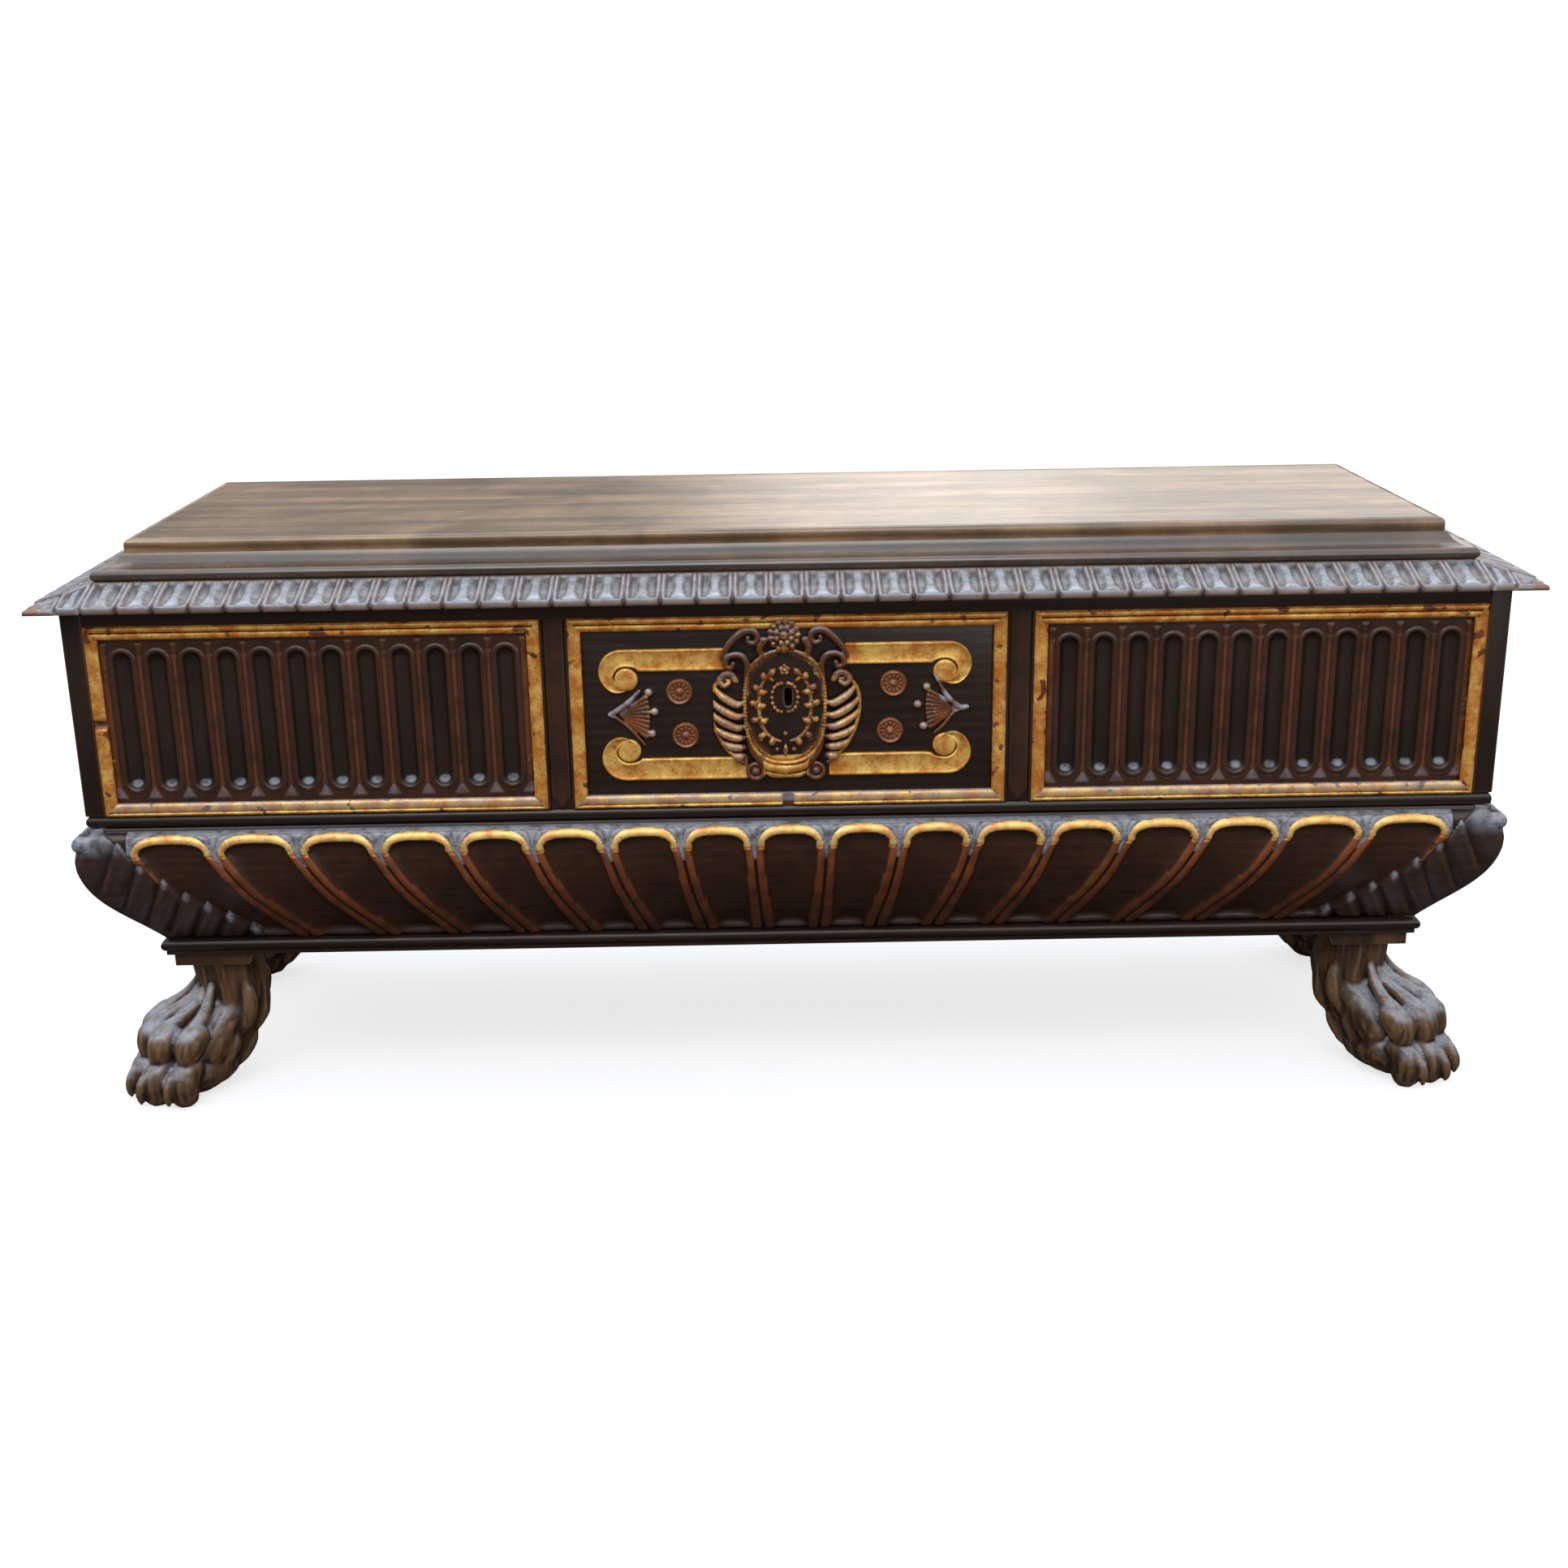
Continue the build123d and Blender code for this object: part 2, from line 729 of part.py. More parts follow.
# ------------------------------------------------------------------ middle panel
with BuildPart() as centre_panel:
    with BuildSketch(outward_plane("front", facing)):
        with Locations((0, bay_middle)):
            Rectangle(centre_bay - 2 * gilt_width, panel_height)
    extrude(amount=centre_board)
    with BuildSketch(outward_plane("front", facing)):
        keyhole()
    extrude(amount=centre_board, mode=Mode.SUBTRACT)
save(centre_panel.part, "centre_panel")

crest_middle = bay_top + crest_lap - crest_radius
with BuildPart() as cartouche:
    with BuildSketch(outward_plane("front", centre_face)):
        with Locations((0, bay_middle + oval_rise)):
            Ellipse(oval_width / 2 + 2 * rim_width, oval_height / 2 + 2 * rim_width)
        for turn in (-1, 1):
            with Locations((turn * (cartouche_width / 2 - wing_width), bay_middle)):
                Ellipse(wing_width, wing_height)
            with Locations((turn * shoulder_reach, bay_middle + shoulder_rise)):
                Ellipse(shoulder_width, shoulder_height)
            with Locations((turn * foot_reach, bay_middle - foot_fall)):
                Circle(volute_radius)
        with Locations((0, crest_middle)):
            Circle(crest_radius)
    extrude(amount=cartouche_base)
    with BuildSketch(outward_plane("front", centre_face)):
        with Locations((0, bay_middle + oval_rise)):
            Ellipse(oval_width / 2 + rim_width, oval_height / 2 + rim_width)
            Ellipse(oval_width / 2, oval_height / 2, mode=Mode.SUBTRACT)
        with Locations((0, crest_middle)):
            Circle(crest_radius)
    extrude(amount=cartouche_rim)
    with BuildSketch(outward_plane("front", centre_face)):
        with Locations((0, bay_middle + panel_height / 2 + crest_radius)):
            Rectangle(cartouche_width, 2 * crest_radius + 2 * crest_gap)
    extrude(amount=centre_face + gilt_proud + crest_gap, mode=Mode.SUBTRACT)
    with BuildSketch(outward_plane("front", centre_face)):
        keyhole()
    extrude(amount=cartouche_rim, mode=Mode.SUBTRACT)
save(cartouche.part, "cartouche")

for end, turn in ENDS.items():
    with BuildPart() as strapwork:
        with BuildSketch(outward_plane("front", centre_face)):
            for level in (-1, 1):
                middle = turn * (strap_reach + strap_root) / 2
                with Locations((middle, bay_middle + level * strap_rise)):
                    Rectangle(strap_reach - strap_root, strap_width)
                eye = strap_rise + strap_width / 2 - scroll_radius
                with Locations((turn * strap_reach, bay_middle + level * eye)):
                    Circle(scroll_radius)
        extrude(amount=strap_thickness)
        add(cartouche.part, mode=Mode.SUBTRACT)
    save(strapwork.part, "strapwork_" + end)

    with BuildPart() as palmette:
        with BuildSketch(outward_plane("front", centre_face)):
            with BuildLine():
                tip = (turn * palmette_tip, bay_middle)
                high = (turn * palmette_root, bay_middle + palmette_half_height)
                low = (turn * palmette_root, bay_middle - palmette_half_height)
                hollow_x = turn * (palmette_root + palmette_hollow * (palmette_tip - palmette_root))
                hollow_z = palmette_hollow * palmette_half_height
                ThreePointArc(tip, (hollow_x, bay_middle + hollow_z), high)
                ThreePointArc(high, (turn * (palmette_root - palmette_bow), bay_middle), low)
                ThreePointArc(low, (hollow_x, bay_middle - hollow_z), tip)
            make_face()
        extrude(amount=palmette_thickness)
        pearls = outward_plane("front", centre_face)
        for step in (-1, 0, 1):
            reach = pearl_reach - pearl_lead * (1 - abs(step))
            place = (turn * reach, bay_middle + step * pearl_spacing, 0)
            with Locations(pearls.location * Location(place)):
                Sphere(pearl_radius)
        with BuildSketch(outward_plane("front", centre_face)):
            with Locations((turn * pearl_reach, bay_middle)):
                Rectangle(4 * pearl_spacing, 4 * pearl_spacing)
        extrude(amount=-pearl_radius, mode=Mode.SUBTRACT)
    save(palmette.part, "palmette_" + end)

with BuildPart() as rosettes:
    with BuildSketch(outward_plane("front", centre_face)):
        with Locations((0, bay_middle)):
            with GridLocations(2 * rosette_reach, 2 * rosette_rise, 2, 2):
                Circle(rosette_radius)
    extrude(amount=rosette_thickness)
    with BuildSketch(outward_plane("front", centre_face - rosette_thickness)):
        with Locations((0, bay_middle)):
            with GridLocations(2 * rosette_reach, 2 * rosette_rise, 2, 2):
                Circle(rosette_hollow)
                Circle(rosette_boss, mode=Mode.SUBTRACT)
    extrude(amount=-rosette_hollow_depth, mode=Mode.SUBTRACT)
save(rosettes.part, "rosettes")

# ------------------------------------------------------------------ lid
edge_inner = lid_edge_width - lid_overhang
with BuildSketch() as lid_edge_profile:
    Polygon(
        (-lid_overhang, case_top),
        (-lid_overhang, case_top + lid_tip),
        (lid_slope - lid_overhang, step_bottom),
        (edge_inner, step_bottom),
        (edge_inner, case_top),
        align=None,
    )


def lobe_notches(side):
    """Places of the small notches that part the lobes along the lid's tip."""
    half_run = half_length + lid_overhang
    each_way = int((half_run - lid_corner) / lobe_pitch - 0.5)
    edge = (each_way + 0.5) * lobe_pitch
    if side == "front":
        return [(k * lobe_pitch - edge, y_tip) for k in range(2 * each_way + 2)]
    x = -half_run if side == "left" else half_run
    start = y_tip + half_run - edge
    lobes = round((y_back - start) / lobe_pitch)
    return [(x, start + k * (y_back - start) / lobes) for k in range(lobes)]


for side in SIDES:
    with BuildPart() as lid_edge:
        add(run_along(side, lid_edge_profile))
        with BuildSketch(Plane.XY.offset(case_top)):
            with Locations(*lobe_notches(side)):
                Circle(lobe_notch)
        extrude(amount=lid_edge_height, mode=Mode.SUBTRACT)
    save(lid_edge.part, "lid_edge_" + side)

step_waist = step_bottom + step_round
step_foot = step_inset + step_round_bow
cove_top = step_foot + step_cove
with BuildSketch() as lid_step_profile:
    with BuildLine():
        ThreePointArc(
            (step_foot, step_bottom),
            (step_inset, step_bottom + step_round / 2),
            (step_foot, step_waist),
        )
        ThreePointArc(
            (step_foot, step_waist),
            (step_foot + cove_share * step_cove, step_waist + cove_rise * (top_bottom - step_waist)),
            (cove_top, top_bottom),
        )
        Polyline(
            (cove_top, top_bottom),
            (step_inset + step_width, top_bottom),
            (step_inset + step_width, step_bottom),
            (step_foot, step_bottom),
        )
    make_face()
save(gather(*[run_along(side, lid_step_profile) for side in SIDES]), "lid_step_moulding")

with BuildPart() as lid_top_board:
    with BuildSketch(Plane.XY.offset(top_bottom)):
        with Locations((0, (y_front + top_inset + y_back) / 2)):
            Rectangle(case_length - 2 * top_inset, case_depth - top_inset)
    extrude(amount=top_thickness)
    upper = lid_top_board.faces().sort_by(Axis.Z)[-1]
    moulded = upper.edges().sort_by(Axis.Y)[:-1]
    fillet(moulded, radius=top_round)
save(lid_top_board.part, "lid_top_board")

step_inner = step_inset + step_width
with BuildPart() as lid_back_rail:
    with BuildSketch(back_plane):
        Polygon(
            (half_length - edge_inner, case_top),
            (edge_inner - half_length, case_top),
            (edge_inner - half_length, step_bottom),
            (step_inner - half_length, step_bottom),
            (step_inner - half_length, top_bottom),
            (half_length - step_inner, top_bottom),
            (half_length - step_inner, step_bottom),
            (half_length - edge_inner, step_bottom),
            align=None,
        )
    extrude(amount=-lid_rail)
    with BuildSketch(back_plane):
        hinge_holes(lid_leaf_middle, screw_pitch_lid)
    extrude(amount=-screw_length, mode=Mode.SUBTRACT)
save(lid_back_rail.part, "lid_back_rail")

with BuildPart() as lid_battens:
    batten_run = case_depth - step_inner - lid_rail
    with BuildSketch(Plane.XY.offset(top_bottom)):
        with Locations((0, y_back - lid_rail - batten_run / 2)):
            with GridLocations(batten_spacing, 0, batten_count, 1):
                Rectangle(batten_width, batten_run)
    extrude(amount=-batten_thickness)
save(lid_battens.part, "lid_battens")

# ------------------------------------------------------------------ hinges
knuckle_pitch = hinge_width / hinge_knuckles
knuckle_length = knuckle_pitch - hinge_gap


def hinge_leaf(x, leaf_middle, leaf_length, pitch, places):
    """A leaf screwed to the back, with the knuckles that belong to it."""
    axis_plane = Plane(origin=(x, hinge_axis_y, hinge_axis_z), x_dir=(0, 1, 0), z_dir=(1, 0, 0))
    leaf_near = leaf_middle + math.copysign(leaf_length / 2, hinge_axis_z - leaf_middle)
    with BuildPart() as leaf:
        with BuildSketch(back_plane):
            with Locations((-x, leaf_middle)):
                Rectangle(hinge_width - hinge_gap, leaf_length)
                with GridLocations(screw_pitch_x, pitch, 2, 2):
                    Circle(screw_radius + screw_gap, mode=Mode.SUBTRACT)
        extrude(amount=hinge_plate)
        for place in places:
            shift = (place - (hinge_knuckles - 1) / 2) * knuckle_pitch
            with BuildSketch(back_plane):
                with Locations((-x - shift, (leaf_near + hinge_axis_z) / 2)):
                    Rectangle(knuckle_length, abs(hinge_axis_z - leaf_near))
            extrude(amount=hinge_plate)
            with BuildSketch(axis_plane.offset(shift - knuckle_length / 2)):
                Circle(hinge_knuckle)
            extrude(amount=knuckle_length)
        with BuildSketch(axis_plane.offset(-hinge_width / 2)):
            Circle(hinge_pin + pin_gap)
        extrude(amount=hinge_width, mode=Mode.SUBTRACT)
    return leaf.part


def screw_group(plane, places):
    """Round-headed screws, driven to the front from a plane that faces back."""
    with BuildPart() as screws:
        with BuildSketch(plane):
            with Locations(*places):
                Circle(screw_head)
        extrude(amount=screw_head_height)
        rims = screws.edges().filter_by(GeomType.CIRCLE).group_by(Axis.Y)
        fillet(rims[-1], radius=screw_head_round)
        with BuildSketch(plane):
            with Locations(*places):
                Circle(screw_radius)
        extrude(amount=screw_tip_gap - screw_length)
    return screws.part


def corners(middle_x, middle_z, pitch_x, pitch_z):
    """The four corners of a rectangle."""
    return [
        (middle_x + a * pitch_x / 2, middle_z + b * pitch_z / 2) for a in (-1, 1) for b in (-1, 1)
    ]


leaf_face = back_plane.offset(hinge_plate)
case_screws = []
lid_screws = []
pins = []
for end, turn in ENDS.items():
    x = turn * hinge_spacing / 2
    save(
        hinge_leaf(x, case_leaf_middle, hinge_case_leaf, screw_pitch_case, (0, 2, 4)),
        "hinge_case_leaf_" + end,
    )
    save(
        hinge_leaf(x, lid_leaf_middle, hinge_lid_leaf, screw_pitch_lid, (1, 3)),
        "hinge_lid_leaf_" + end,
    )
    case_screws += corners(-x, case_leaf_middle, screw_pitch_x, screw_pitch_case)
    lid_screws += corners(-x, lid_leaf_middle, screw_pitch_x, screw_pitch_lid)
    with BuildPart() as pin:
        pin_plane = Plane(
            origin=(x - hinge_width / 2 - hinge_gap, hinge_axis_y, hinge_axis_z),
            x_dir=(0, 1, 0),
            z_dir=(1, 0, 0),
        )
        with BuildSketch(pin_plane):
            Circle(hinge_pin)
        extrude(amount=hinge_width + 2 * hinge_gap)
        with BuildSketch(pin_plane):
            Circle(hinge_pin_head)
        extrude(amount=-hinge_pin_head_height)
        with BuildSketch(pin_plane.offset(hinge_width + 2 * hinge_gap)):
            Circle(hinge_pin_head)
        extrude(amount=hinge_pin_head_height)
    pins.append(pin.part)
save(gather(*pins), "hinge_pins")
save(screw_group(leaf_face, lid_screws), "lid_hinge_screws")

# ------------------------------------------------------------------ lock and staple
inner_plane = Plane(origin=(0, y_front + wall, 0), x_dir=(-1, 0, 0), z_dir=(0, 1, 0))
cavity_front = y_front + wall + lock_plate_thickness
cavity_depth = lock_cover_depth - lock_cover_wall
cover_width = lock_width - 2 * lock_cover_margin
cover_height = lock_height - lock_cover_margin
cover_middle = case_top - lock_top_margin - cover_height / 2
bolt_z = case_top - bolt_drop
staple_y = cavity_front + staple_gap + staple_depth / 2
guide_depth = staple_y - cavity_front + bolt_thickness / 2 + bolt_gap + guide_wall
guide_near = -(bolt_setback + guide_width / 2 + guide_wall)
leg_x = guide_near - guide_width / 2 - bolt_play - bolt_throw - bolt_leg / 2
guide_far = leg_x - bolt_leg / 2 - bolt_play - guide_width / 2
bolt_tail = guide_far - guide_width / 2 - bolt_throw - bolt_lap
bolt_length = -bolt_tail - bolt_setback

with BuildPart() as lock_plate:
    with BuildSketch(inner_plane):
        with Locations((0, lock_middle)):
            Rectangle(lock_width, lock_height)
            with GridLocations(lock_screw_x, lock_screw_z, 2, 2):
                Circle(screw_radius + screw_gap, mode=Mode.SUBTRACT)
    extrude(amount=lock_plate_thickness)
    with BuildSketch(outward_plane("front", wall)):
        keyhole()
    extrude(amount=-lock_plate_thickness, mode=Mode.SUBTRACT)
    for guide_x in (guide_near, guide_far):
        with BuildSketch(inner_plane.offset(lock_plate_thickness)):
            with Locations((-guide_x, bolt_z)):
                Rectangle(guide_width, bolt_height + 2 * bolt_gap + 2 * guide_wall)
        extrude(amount=guide_depth)
        passage = Plane(
            origin=(guide_x - guide_width, staple_y, bolt_z), x_dir=(0, 1, 0), z_dir=(1, 0, 0)
        )
        with BuildSketch(passage):
            Rectangle(bolt_thickness + 2 * bolt_gap, bolt_height + 2 * bolt_gap)
        extrude(amount=2 * guide_width, mode=Mode.SUBTRACT)
save(lock_plate.part, "lock_plate")

with BuildPart() as lock_bolt:
    bolt_face = Plane(
        origin=(0, staple_y - bolt_thickness / 2, 0), x_dir=(-1, 0, 0), z_dir=(0, 1, 0)
    )
    talon_z = key_height + keyhole_height / 2 + talon_gap
    with BuildSketch(bolt_face):
        with Locations((bolt_setback + bolt_length / 2, bolt_z)):
            Rectangle(bolt_length, bolt_height)
        with Locations((-leg_x, (bolt_z + talon_z) / 2)):
            Rectangle(bolt_leg, bolt_z - talon_z)
        arm_end = leg_x - bolt_leg / 2
        with Locations((-(talon_width + arm_end) / 2, talon_z)):
            Rectangle(talon_width - arm_end, bolt_leg)
        with Locations((0, talon_z - bolt_leg / 2 + talon_depth / 2)):
            Rectangle(talon_width, talon_depth, mode=Mode.SUBTRACT)
    extrude(amount=bolt_thickness)
save(lock_bolt.part, "lock_bolt")

with BuildPart() as lock_cover:
    with BuildSketch(inner_plane.offset(lock_plate_thickness)):
        with Locations((0, cover_middle)):
            Rectangle(cover_width, cover_height)
    extrude(amount=lock_cover_depth)
    with BuildSketch(inner_plane.offset(lock_plate_thickness)):
        with Locations((0, cover_middle)):
            Rectangle(cover_width - 2 * lock_cover_wall, cover_height - 2 * lock_cover_wall)
    extrude(amount=cavity_depth, mode=Mode.SUBTRACT)
    with BuildSketch(Plane.XY.offset(case_top - lock_top_margin - 2 * lock_cover_wall)):
        with Locations((0, cavity_front + cavity_depth / 2)):
            Rectangle(staple_slot, cavity_depth)
    extrude(amount=4 * lock_cover_wall, mode=Mode.SUBTRACT)
save(lock_cover.part, "lock_cover")

lock_face = inner_plane.offset(lock_plate_thickness)
save(
    gather(
        screw_group(leaf_face, case_screws),
        screw_group(lock_face, corners(0, lock_middle, lock_screw_x, lock_screw_z)),
    ),
    "case_screws",
)

with BuildPart() as lid_staple:
    with BuildSketch(Plane.XY.offset(case_top)):
        with Locations((0, cavity_front + staple_gap + staple_plate_depth / 2)):
            Rectangle(staple_plate_width, staple_plate_depth)
    extrude(amount=-staple_plate)
    staple_face = Plane(
        origin=(-staple_thickness / 2, staple_y, case_top), x_dir=(0, 1, 0), z_dir=(1, 0, 0)
    )
    with BuildSketch(staple_face):
        with Locations((0, -staple_drop / 2)):
            Rectangle(staple_depth, staple_drop)
        with Locations((0, bolt_z - case_top)):
            SlotOverall(staple_eye_height, staple_eye_width, rotation=90, mode=Mode.SUBTRACT)
    extrude(amount=staple_thickness)
    fillet(lid_staple.edges().filter_by(Axis.X).group_by(Axis.Z)[0], radius=staple_round)
save(lid_staple.part, "lid_staple")
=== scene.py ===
"""Cassone: the carving, gilding and finish of a walnut chest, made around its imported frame.

Lengths are in metres. X runs along the chest, Y from its front to its back and Z up.
"""

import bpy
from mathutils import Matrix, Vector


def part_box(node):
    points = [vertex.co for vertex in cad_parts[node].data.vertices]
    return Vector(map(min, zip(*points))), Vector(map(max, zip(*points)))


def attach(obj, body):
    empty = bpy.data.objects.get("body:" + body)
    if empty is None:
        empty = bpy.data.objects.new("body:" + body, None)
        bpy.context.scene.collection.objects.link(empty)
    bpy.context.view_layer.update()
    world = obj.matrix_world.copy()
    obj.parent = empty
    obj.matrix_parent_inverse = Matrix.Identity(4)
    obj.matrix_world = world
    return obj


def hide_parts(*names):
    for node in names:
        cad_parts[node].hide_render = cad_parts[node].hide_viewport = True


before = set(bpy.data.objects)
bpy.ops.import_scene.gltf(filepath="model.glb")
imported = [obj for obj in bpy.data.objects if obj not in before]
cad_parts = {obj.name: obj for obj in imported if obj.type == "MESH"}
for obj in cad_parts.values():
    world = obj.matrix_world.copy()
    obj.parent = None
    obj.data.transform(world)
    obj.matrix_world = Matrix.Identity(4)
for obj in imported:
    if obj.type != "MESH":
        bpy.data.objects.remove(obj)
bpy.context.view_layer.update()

import math
from collections import namedtuple

import bmesh
import bpy
from bpy.props import FloatProperty, FloatVectorProperty, PointerProperty
from mathutils import Matrix, Vector, noise
from mathutils.geometry import interpolate_bezier

bl_info = {
    "name": "Cassone",
    "version": (1, 0, 0),
    "blender": (4, 5, 0),
    "location": "View3D > Sidebar > Cassone",
    "description": "Carves, gilds and finishes a long walnut chest",
    "category": "Object",
}

MM = 0.001

# ------------------------------------------------------------------ places in the frame
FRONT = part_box("frieze_rail")[0].y
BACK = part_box("back_board")[1].y
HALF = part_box("frieze_rail")[1].x
MIDDLE = (FRONT + BACK) / 2
BELLY_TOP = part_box("belly_board_front")[1].z
BELLY_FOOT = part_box("belly_board_front")[0].z
BELLY_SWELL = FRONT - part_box("belly_board_front")[0].y
LID_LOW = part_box("lid_edge_front")[0].z
LID_BAND_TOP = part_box("lid_edge_front")[1].z
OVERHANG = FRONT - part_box("lid_edge_front")[0].y
PANEL_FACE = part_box("centre_panel")[0].y
BAY_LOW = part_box("gilt_moulding_front_centre")[0].z
BAY_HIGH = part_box("gilt_moulding_front_centre")[1].z
BAY_MIDDLE = (BAY_LOW + BAY_HIGH) / 2
SIDES = ("front", "left", "right")


# ------------------------------------------------------------------ sizes and colours
def length(name, size, description):
    """A length that a user may change."""
    return FloatProperty(
        name=name, default=size, unit="LENGTH", precision=4, description=description
    )


def paint(red, green, blue):
    """A colour as the screen shows it, from 0 to 255, as the light that the shaders need."""
    shares = (red / 255, green / 255, blue / 255)
    return [((v + 0.055) / 1.055) ** 2.4 if v > 0.04 else v / 12.92 for v in shares]


def colour(name, rgb, description):
    """A colour that a user may change."""
    return FloatVectorProperty(
        name=name, subtype="COLOR", min=0.0, max=1.0, default=paint(*rgb), description=description
    )


class CassoneCarving(bpy.types.PropertyGroup):
    """Sizes of the carving."""

    channel_depth: length("Channel depth", 0.009, "How deep a channel of the belly is hollowed")
    rim_top: length("Rim at the top", 0.0098, "Half of the double rim between two channels")
    rim_foot: length("Rim at the foot", 0.0145, "The same at the foot of the belly")
    rim_height: length("Rim height", 0.003, "How far a rim is rounded")
    lobe_rim: length("Lobe rim", 0.005, "Width of the raised border of a lobe on the lid")
    lobe_relief: length("Lobe relief", 0.0018, "Height of that border")
    flute_depth: length("Flute depth", 0.0066, "How deep a flute is hollowed")
    flute_half: length("Flute half width", 0.0108, "Half of a flute's hollow")
    cartouche_voxel: length("Cartouche detail", 0.00095, "Finest detail of the cartouche")
    paw_voxel: length("Paw detail", 0.0021, "Finest detail of the paws")


class CassoneColours(bpy.types.PropertyGroup):
    """Colours of the finishes."""

    case_deep: colour("Case, deep", (27, 19, 16), "Dark wood of the case")
    case_light: colour("Case, figure", (42, 28, 22), "Figure of the case's wood")
    case_rubbed: colour("Case, rubbed", (96, 60, 36), "Wood where the finish is worn through")
    case_warm: colour("Case, warm", (138, 74, 35), "Wood under thin gilding that is nearly gone")
    # The carved band's greyer, lighter walnut: its own wood, with the sky's reflection on the band
    # partly painted in
    band_deep: colour("Carved band, deep", (58, 50, 46), "Hollows of the lid's carved band")
    band_light: colour("Carved band, light", (112, 100, 92), "Figure of the lid's carved band")
    top_deep: colour("Lid top, deep", (88, 65, 45), "Dark grain of the top board")
    top_light: colour("Lid top, light", (138, 110, 80), "Light grain of the top board")
    foot_deep: colour("Feet, deep", (46, 31, 22), "Dark wood of the feet")
    foot_light: colour("Feet, light", (92, 66, 44), "Light wood of the feet")
    plain_deep: colour("Plain wood, deep", (80, 60, 44), "Dark grain of the unfinished wood")
    plain_light: colour("Plain wood, light", (128, 100, 74), "Light grain of the unfinished wood")
    gold_bright: colour("Gilding, bright", (242, 203, 112), "Clean gold leaf")
    gold_warm: colour("Gilding, warm", (190, 114, 42), "Gold leaf rubbed thin")
    # Grey painted highlight: the cool sky's reflection on the waxed carving, painted into the
    # colour where a piece marks it
    bloom: colour("Bloom", (150, 156, 168), "Grey bloom of old wax in the leaf carving")


class CassoneStage(bpy.types.PropertyGroup):
    """Camera and light."""

    lens: FloatProperty(name="Lens", default=43.745, description="Focal length, in mm")
    camera_x: length("Camera along X", -0.0170, "Place of the camera")
    camera_y: length("Camera along Y", -2.4264, "Place of the camera")
    camera_z: length("Camera height", 1.1242, "Place of the camera")
    pitch: FloatProperty(name="Pitch", default=17.78, description="Degrees that it looks down")
    yaw: FloatProperty(name="Yaw", default=0.27, description="Degrees that it looks to the right")
    roll: FloatProperty(name="Roll", default=-0.92, description="Degrees that it leans")
    key_power: FloatProperty(name="Key light", default=60.0, min=0.0, description="Its power")
    sky: FloatProperty(name="Sky", default=1.0, min=0.0, description="Brightness of the room")


# ------------------------------------------------------------------ small helpers
def blend(low, high, amount):
    """Between two values, or two vectors, by a share."""
    return low + (high - low) * amount


def ease(low, high, value):
    """0 below low, 1 above high and a smooth rise between."""
    t = min(1.0, max(0.0, (value - low) / (high - low)))
    return t * t * (3 - 2 * t)


def dome(value):
    """A half round: 1 in the middle and 0 at -1 and 1."""
    return math.sqrt(max(0.0, 1.0 - value * value))


def crowded(value, amount):
    """A share from 0 to 1, moved so that even steps crowd together at both ends."""
    return value - amount * math.sin(2 * math.pi * value) / (2 * math.pi)


def on_side(side, run, inset, z):
    """A point by its distance along a side, its inset behind the case's face and its height."""
    if side == "front":
        return Vector((run, FRONT + inset, z))
    turn = -1 if side == "left" else 1
    return Vector((turn * (HALF - inset), MIDDLE + run, z))


def run_of(side, point):
    """How far a point is along a side, from its middle."""
    return point.x if side == "front" else point.y - MIDDLE


def lengthwise(side):
    """The axis along which a side's long boards run."""
    return "x" if side == "front" else "y"


def side_ends(side, inset):
    """Both ends of a side's run, at an inset: its mitres, or the back of the case."""
    if side == "front":
        return -(HALF - inset), HALF - inset
    return FRONT + inset - MIDDLE, BACK - MIDDLE


def walked(line, stations):
    """Points of a profile at shares of its length, each with its outward direction.

    The line holds (inset, height) pairs from top to bottom.
    """
    lengths = [0.0]
    for before, after in zip(line, line[1:]):
        lengths.append(lengths[-1] + (after - before).length)
    found = []
    at = 0
    for station in stations:
        goal = station * lengths[-1]
        while at < len(line) - 2 and lengths[at + 1] < goal:
            at += 1
        part = (goal - lengths[at]) / (lengths[at + 1] - lengths[at])
        point = blend(line[at], line[at + 1], part)
        along = (line[at + 1] - line[at]).normalized()
        found.append((point.x, point.y, along.y, -along.x, goal))
    return found


def mapped_grid(bm, across, along, place):
    """A sheet of faces whose corners are placed by their column and row."""
    made = bmesh.ops.create_grid(bm, x_segments=across, y_segments=along, size=0.5)
    for vert in made["verts"]:
        column = round((vert.co.x + 0.5) * across)
        row = round((vert.co.y + 0.5) * along)
        place(vert, column, row)
    return made["verts"]


def open_edges(bm):
    """The edges that have a face on one side only."""
    return [edge for edge in bm.edges if edge.is_boundary]


def close_behind(bm, move):
    """Run the open border of a carved face back to its board's back, and cover that."""
    made = bmesh.ops.extrude_edge_only(bm, edges=open_edges(bm))["geom"]
    for item in made:
        if isinstance(item, bmesh.types.BMVert):
            move(item)
    bmesh.ops.holes_fill(bm, edges=open_edges(bm), sides=0)
    bmesh.ops.recalc_face_normals(bm, faces=bm.faces)


def swept(bm, rings, around, place, closed_run=False):
    """A closed section run along a path.

    place gives each point by its ring and its share around.
    """

    def put(vert, column, row):
        vert.co = place(column, row / around)

    verts = mapped_grid(bm, rings, around, put)
    bmesh.ops.remove_doubles(bm, verts=verts, dist=1e-6)
    if not closed_run:
        bmesh.ops.holes_fill(bm, edges=open_edges(bm), sides=0)
    bmesh.ops.recalc_face_normals(bm, faces=bm.faces)


def marks_on(bm, *names):
    """Layers of values that the finishes read."""
    return {name: bm.verts.layers.float.new(name) for name in names}


def mark(vert, marks, **values):
    """Store values for the finish on a vertex."""
    for name, value in values.items():
        vert[marks[name]] = value


